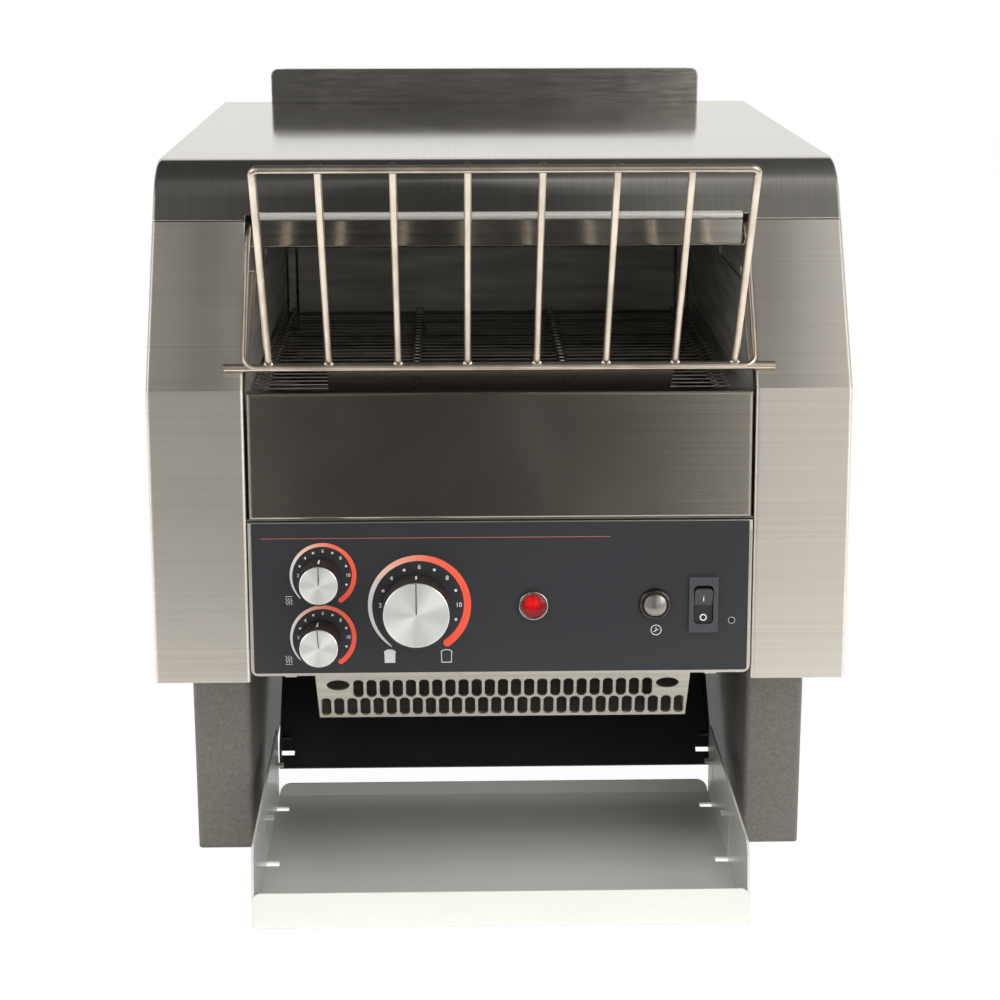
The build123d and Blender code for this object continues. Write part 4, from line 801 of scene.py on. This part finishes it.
def makeFace(name, knob):
    # lathe-turned disc with a small chamfer
    disc = addDrum(96, knob["face"], faceShape["thick"], gripShape["front"] - faceShape["sink"])
    selectFaces(disc, lambda face: face.normal.z > 0.9)
    bpy.ops.mesh.inset(thickness=faceShape["chamfer"], use_even_offset=True)
    bpy.ops.transform.translate(value=(0, 0, faceShape["lift"]))
    for ring in range(faceShape["rings"]):
        bpy.ops.mesh.inset(thickness=knob["face"] / faceShape["ringGap"], use_even_offset=True)
    bpy.ops.object.mode_set(mode="OBJECT")
    ringShare = disc.data.attributes.new("ring", "FLOAT", "POINT")
    for vertex in disc.data.vertices:
        ringShare.data[vertex.index].value = math.hypot(vertex.co.x, vertex.co.y) * faceShape["linesPerMm"]
    piece = finishPiece(disc, knob["body"] + "_face", knob["body"], "spunFace", knobPlace(knob),
                        smooth=20)
    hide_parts(name + "_cap")
    return piece


def makePointer(knob):
    # a line on the face, and a tick on the side of the grip
    wide = knob["line"]
    line = flatShape([barPoints(-wide / 2, pointer["start"], wide / 2, knob["face"] - pointer["short"])],
                     pointer["thick"])
    faceTop = gripShape["front"] - faceShape["sink"] + faceShape["thick"] / 2 + faceShape["lift"]
    line.data.transform(Matrix.Translation((0, 0, faceTop + pointer["above"])))
    finishPiece(line, knob["body"] + "_line", knob["body"], "blackInk", knobPlace(knob))
    tick = flatShape([barPoints(*pointer["tick"])], pointer["tickThick"])
    side = Matrix.Translation((0, knob["grip"] + pointer["tickAbove"], 0))
    side = side @ Matrix.Rotation(math.pi / 2, 4, "X")
    finishPiece(tick, knob["body"] + "_tick", knob["body"], "whiteInk", knobPlace(knob) @ side)


for knobName, knob in knobs.items():
    makeGrip(knobName, knob)
    makeFace(knobName, knob)
    makePointer(knob)
print("knobs made")

# marks on the rocker switch; heights are measured out from its pivot
rocker = {"at": (107.5, 158.1), "pivot": -2.5, "tilt": 7.0, "valley": 3.0, "end": 4.6, "half": 9.6}
switchMarks = {"ring": (1.9, 1.25), "ringUp": 6.7, "bar": (-0.28, 2.4, 0.28, 5.2), "thick": 0.06,
               "above": 0.04}


def makeSwitchMarks():
    # a bar on the upper half and a ring on the lower half, each lying on its own face
    x, y = onPanel(*rocker["at"])
    slope = math.atan2(rocker["end"] - rocker["valley"], rocker["half"])
    tilt = Matrix.Rotation(math.radians(rocker["tilt"]), 4, "X")
    base = panelPlace() @ Matrix.Translation((x, y, rocker["pivot"])) @ tilt
    rings = [ringPoints(0, switchMarks["ringUp"], radius, 32) for radius in switchMarks["ring"]]
    for name, outlines, side in (("offMark", rings, -1), ("onMark", [barPoints(*switchMarks["bar"])], 1)):
        sided = [[(px, side * py) for px, py in outline] for outline in outlines]
        mark = flatShape(sided, switchMarks["thick"])
        lay = Matrix.Translation((0, 0, rocker["valley"] + switchMarks["above"]))
        lay = lay @ Matrix.Rotation(side * slope, 4, "X")
        finishPiece(mark, name, "power_switch", "whiteInk", base @ lay)


makeSwitchMarks()
print("switch marks made")

# belt of bent wires: each reaches over the next one with hooks
belt = {
    "pitch": 256.0 / 26, "front": -173.6, "rear": 82.4, "height": 245.8, "teeth": 12,
    "left": -132.4, "right": 126.4, "wire": 0.55, "tipWire": 0.95,      # the tips are a share of the wire
    "hooks": [(-132.0, -130.2), (-126.2, -124.4), (-46.8, -43.0), (36.4, 40.2), (117.6, 119.4),
              (124.0, 125.8)],
}
hook = {"short": 0.2, "rise": 1.8, "bend": 0.5, "foot": (1.6, 0.15), "lean": 0.08, "tip": 2.5,
        "tipRise": 0.82, "crown": 1.0, "crownLean": 0.1}


def beltRadius():
    return belt["pitch"] * belt["teeth"] / (2 * math.pi)


def beltPoint(distance):
    # place and outward angle at a distance along the loop
    radius = beltRadius()
    span, turn = belt["rear"] - belt["front"], math.pi * radius
    distance %= 2 * (span + turn)
    if distance < span:
        return belt["front"] + distance, belt["height"] + radius, math.pi / 2
    distance -= span
    if distance < turn:
        angle = math.pi / 2 - distance / radius
        return belt["rear"] + radius * math.cos(angle), belt["height"] + radius * math.sin(angle), angle
    distance -= turn
    if distance < span:
        return belt["rear"] - distance, belt["height"] - radius, -math.pi / 2
    angle = -math.pi / 2 - (distance - span) / radius
    return belt["front"] + radius * math.cos(angle), belt["height"] + radius * math.sin(angle), angle


def strandRuns():
    # one wire across the belt; at each hook it reaches over the wire ahead of it
    ahead, over, bend = belt["pitch"] - hook["short"], hook["rise"] * belt["wire"], hook["bend"]
    gaps = [x for left, right in belt["hooks"] for x in (left - bend, right + bend)]
    stops = [belt["left"]] + gaps + [belt["right"]]
    straight = [[(stops[k], 0, 0), (stops[k + 1], 0, 0)] for k in range(0, len(stops), 2)]
    tips = []
    for left, right in belt["hooks"]:
        leftArm = (left + hook["lean"], ahead - hook["tip"], over * hook["tipRise"])
        rightArm = (right - hook["lean"], ahead - hook["tip"], over * hook["tipRise"])
        straight.append([(left - bend, 0, 0), (left, *hook["foot"]), leftArm])
        straight.append([rightArm, (right, *hook["foot"]), (right + bend, 0, 0)])
        leftCrown = [(left + hook["crownLean"], ahead - hook["crown"], over), (left + bend, ahead, over)]
        rightCrown = [(right - bend, ahead, over), (right - hook["crownLean"], ahead - hook["crown"], over)]
        tips.append([leftArm] + leftCrown + rightCrown + [rightArm])
    return straight, tips


def makeBelt():
    loop = 2 * (belt["rear"] - belt["front"]) + 2 * math.pi * beltRadius()
    count = round(loop / belt["pitch"])
    straight, tips = strandRuns()
    for name, runs, share, material in (("beltWires", straight, 1.0, "beltWire"),
                                        ("beltHooks", tips, belt["tipWire"], "beltHook")):
        strand = meshFromRuns("strand", runs, False, dimensions="3D", bevel_depth=belt["wire"] * share,
                              bevel_resolution=1, use_fill_caps=True)
        wires = []
        for k in range(count):
            y, z, angle = beltPoint(k * loop / count)
            copy = strand.copy()
            copy.data = strand.data.copy()
            bpy.context.scene.collection.objects.link(copy)
            # the strand's own up points outwards from the loop, and its ahead points along the travel
            copy.data.transform(Matrix.Translation((0, y, z)) @ Matrix.Rotation(angle - math.pi / 2, 4, "X"))
            wires.append(copy)
        bpy.data.objects.remove(strand)
        piece = joinPieces(wires)
        finishPiece(piece, name, "chassis", material, Matrix.Scale(mm, 4), smooth=50)
        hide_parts("conveyor_belt")


makeBelt()
print("belt made")

# weld beads on the rack's rod
rack = {"wires": (-120.1, -89.0, -53.0, -17.0, 19.0, 55.0, 91.0, 122.1), "rodY": -196.89, "rodZ": 284.90}
bead = {"radius": 1.15, "apart": 1.35, "out": 1.5, "up": 2.0, "shape": (1.0, 0.9, 1.15), "uneven": 0.06}


def makeBeads():
    # a pair of small domes of weld at the foot of each wire
    beads = []
    for x in rack["wires"]:
        for side in (-1, 1):
            startPiece()
            place = (x + side * bead["apart"], rack["rodY"] - bead["out"], rack["rodZ"] + bead["up"])
            bpy.ops.mesh.primitive_uv_sphere_add(segments=16, ring_count=10, radius=bead["radius"],
                                                 location=place)
            dome = bpy.context.object
            dome.scale = bead["shape"]
            bpy.ops.object.transform_apply(location=True, scale=True)
            bpy.ops.object.mode_set(mode="EDIT")
            bpy.ops.mesh.select_all(action="SELECT")
            bpy.ops.transform.vertex_random(offset=bead["uneven"], seed=int(x) + 200 + side)
            bpy.ops.object.mode_set(mode="OBJECT")
            beads.append(dome)
    piece = joinPieces(beads)
    return finishPiece(piece, "weldBeads", "feed_rack", "weldMetal", Matrix.Scale(mm, 4), smooth=80)


makeBeads()
print("weld beads made")

# floor, background and lights
studio = {
    "floor": (3.0, -0.50, 4.0),   # half width, front edge, back edge
    "softboxes": [   # place, aim, width, height, power, seen in shiny faces
        ((-1.7, -0.9, 0.9), (0, -0.1, 0.25), 0.9, 1.3, 9, True),
        ((1.5, -1.3, 0.9), (0, -0.1, 0.25), 0.9, 1.3, 14, True),
        ((0.0, -0.9, 2.2), (0, -0.1, 0.1), 1.8, 1.2, 42, False),
        ((0.0, -2.2, 0.7), (0, -0.1, 0.25), 1.6, 0.8, 2.5, False),
    ],
    # brightness of the room and of its ceiling by direction: degrees to the right of straight ahead
    "room": [(-180, 0.86), (-75, 0.65), (-30, 0.70), (-12, 0.95), (-8, 0.18), (-5, 0.034), (5.5, 0.034),
             (7.5, 0.14), (9, 1.25), (12, 1.8), (25, 1.1), (60, 0.80), (180, 0.86)],
    "ceiling": [(-180, 0.05), (-60, 0.12), (-14, 0.12), (-7, 0.04), (7, 0.04), (12, 0.22), (50, 0.35),
                (90, 0.35), (180, 0.05)],
    "tint": (1.0, 0.99, 0.965),
    "lowFrom": -0.22, "lowTo": -0.12, "lowShare": 0.45,   # the room gets dimmer towards its floor
    "backTo": 0.3, "backLift": 0.28,                      # its ceiling starts lower behind the object
    "ceilingFrom": 0.60, "ceilingTo": 0.80,
}


def roomRamp(tree, at, share, stops):
    ramp = addNode(tree, "ShaderNodeValToRGB", at, {"Fac": share})
    red, green, blue = studio["tint"]
    return fillRamp(ramp, [((degrees + 180) / 360, (value * red, value * green, value * blue, 1))
                           for degrees, value in stops])


def makeRoomLight(tree):
    # dark straight ahead of the object and above it, bright behind it and at the sides
    way = addNode(tree, "ShaderNodeTexCoord", (-1300, 0))
    split = addNode(tree, "ShaderNodeSeparateXYZ", (-1100, 0), {0: way.outputs["Generated"]})
    right, behind, up = (split.outputs[axis] for axis in "XYZ")
    turn = addMath(tree, (-700, 0), "ARCTAN2", right, addMath(tree, (-900, -100), "MULTIPLY", behind, -1.0))
    share = mapRange(tree, (-500, 0), turn, -math.pi, math.pi)
    lift = mapRange(tree, (-900, -400), behind, 0.0, studio["backTo"], toMax=studio["backLift"])
    lifted = addMath(tree, (-500, -300), "ADD", up, lift)
    height = mapRange(tree, (-250, -300), lifted, studio["ceilingFrom"], studio["ceilingTo"],
                      interpolation_type="SMOOTHSTEP")
    walls = roomRamp(tree, (-250, 0), share, studio["room"])
    ceiling = roomRamp(tree, (-250, 250), share, studio["ceiling"])
    dim = mapRange(tree, (-250, -550), up, studio["lowFrom"], studio["lowTo"], studio["lowShare"])
    both = mixColors(tree, (50, 0), height, walls, ceiling)
    dimmed = addNode(tree, "ShaderNodeVectorMath", (220, 0), {0: both, "Scale": dim}, operation="SCALE")
    return dimmed.outputs[0]


def makeFloor():
    halfWide, front, rear = studio["floor"]
    startPiece()
    bpy.ops.mesh.primitive_plane_add(size=1.0, location=(0, 0, 0))
    floor = bpy.context.object
    floor.name = "floor"
    stretch = Matrix.Diagonal((2 * halfWide, rear - front, 1, 1))
    floor.data.transform(Matrix.Translation((0, (front + rear) / 2, 0)) @ stretch)
    floor.data.materials.append(materials["paleFloor"])


def makeSoftboxes():
    for number, (place, aim, wide, tall, power, seen) in enumerate(studio["softboxes"]):
        data = bpy.data.lights.new("softbox%d" % number, "AREA")
        data.shape = "RECTANGLE"
        data.size, data.size_y, data.energy = wide, tall, power
        light = bpy.data.objects.new("softbox%d" % number, data)
        light.location = place
        light.rotation_euler = (Vector(aim) - Vector(place)).to_track_quat("-Z", "Y").to_euler()
        light.visible_glossy = seen
        bpy.context.scene.collection.objects.link(light)


def makeWorld():
    # plain white where the camera sees it, and the room's light everywhere else
    world = bpy.data.worlds.new("studioWorld")
    bpy.context.scene.world = world
    world.use_nodes = True
    tree = world.node_tree
    tree.nodes.clear()
    output = addNode(tree, "ShaderNodeOutputWorld", (800, 0))
    lit = addNode(tree, "ShaderNodeBackground", (300, 100), {"Color": makeRoomLight(tree), "Strength": 1.0})
    seen = addNode(tree, "ShaderNodeBackground", (300, -100), {"Color": (1, 1, 1, 1), "Strength": 1.0})
    ray = addNode(tree, "ShaderNodeLightPath", (300, 400))
    both = addNode(tree, "ShaderNodeMixShader", (550, 0),
                   {0: ray.outputs["Is Camera Ray"], 1: lit.outputs[0], 2: seen.outputs[0]})
    tree.links.new(both.outputs[0], output.inputs[0])


makeFloor()
makeSoftboxes()
makeWorld()
print("studio made")
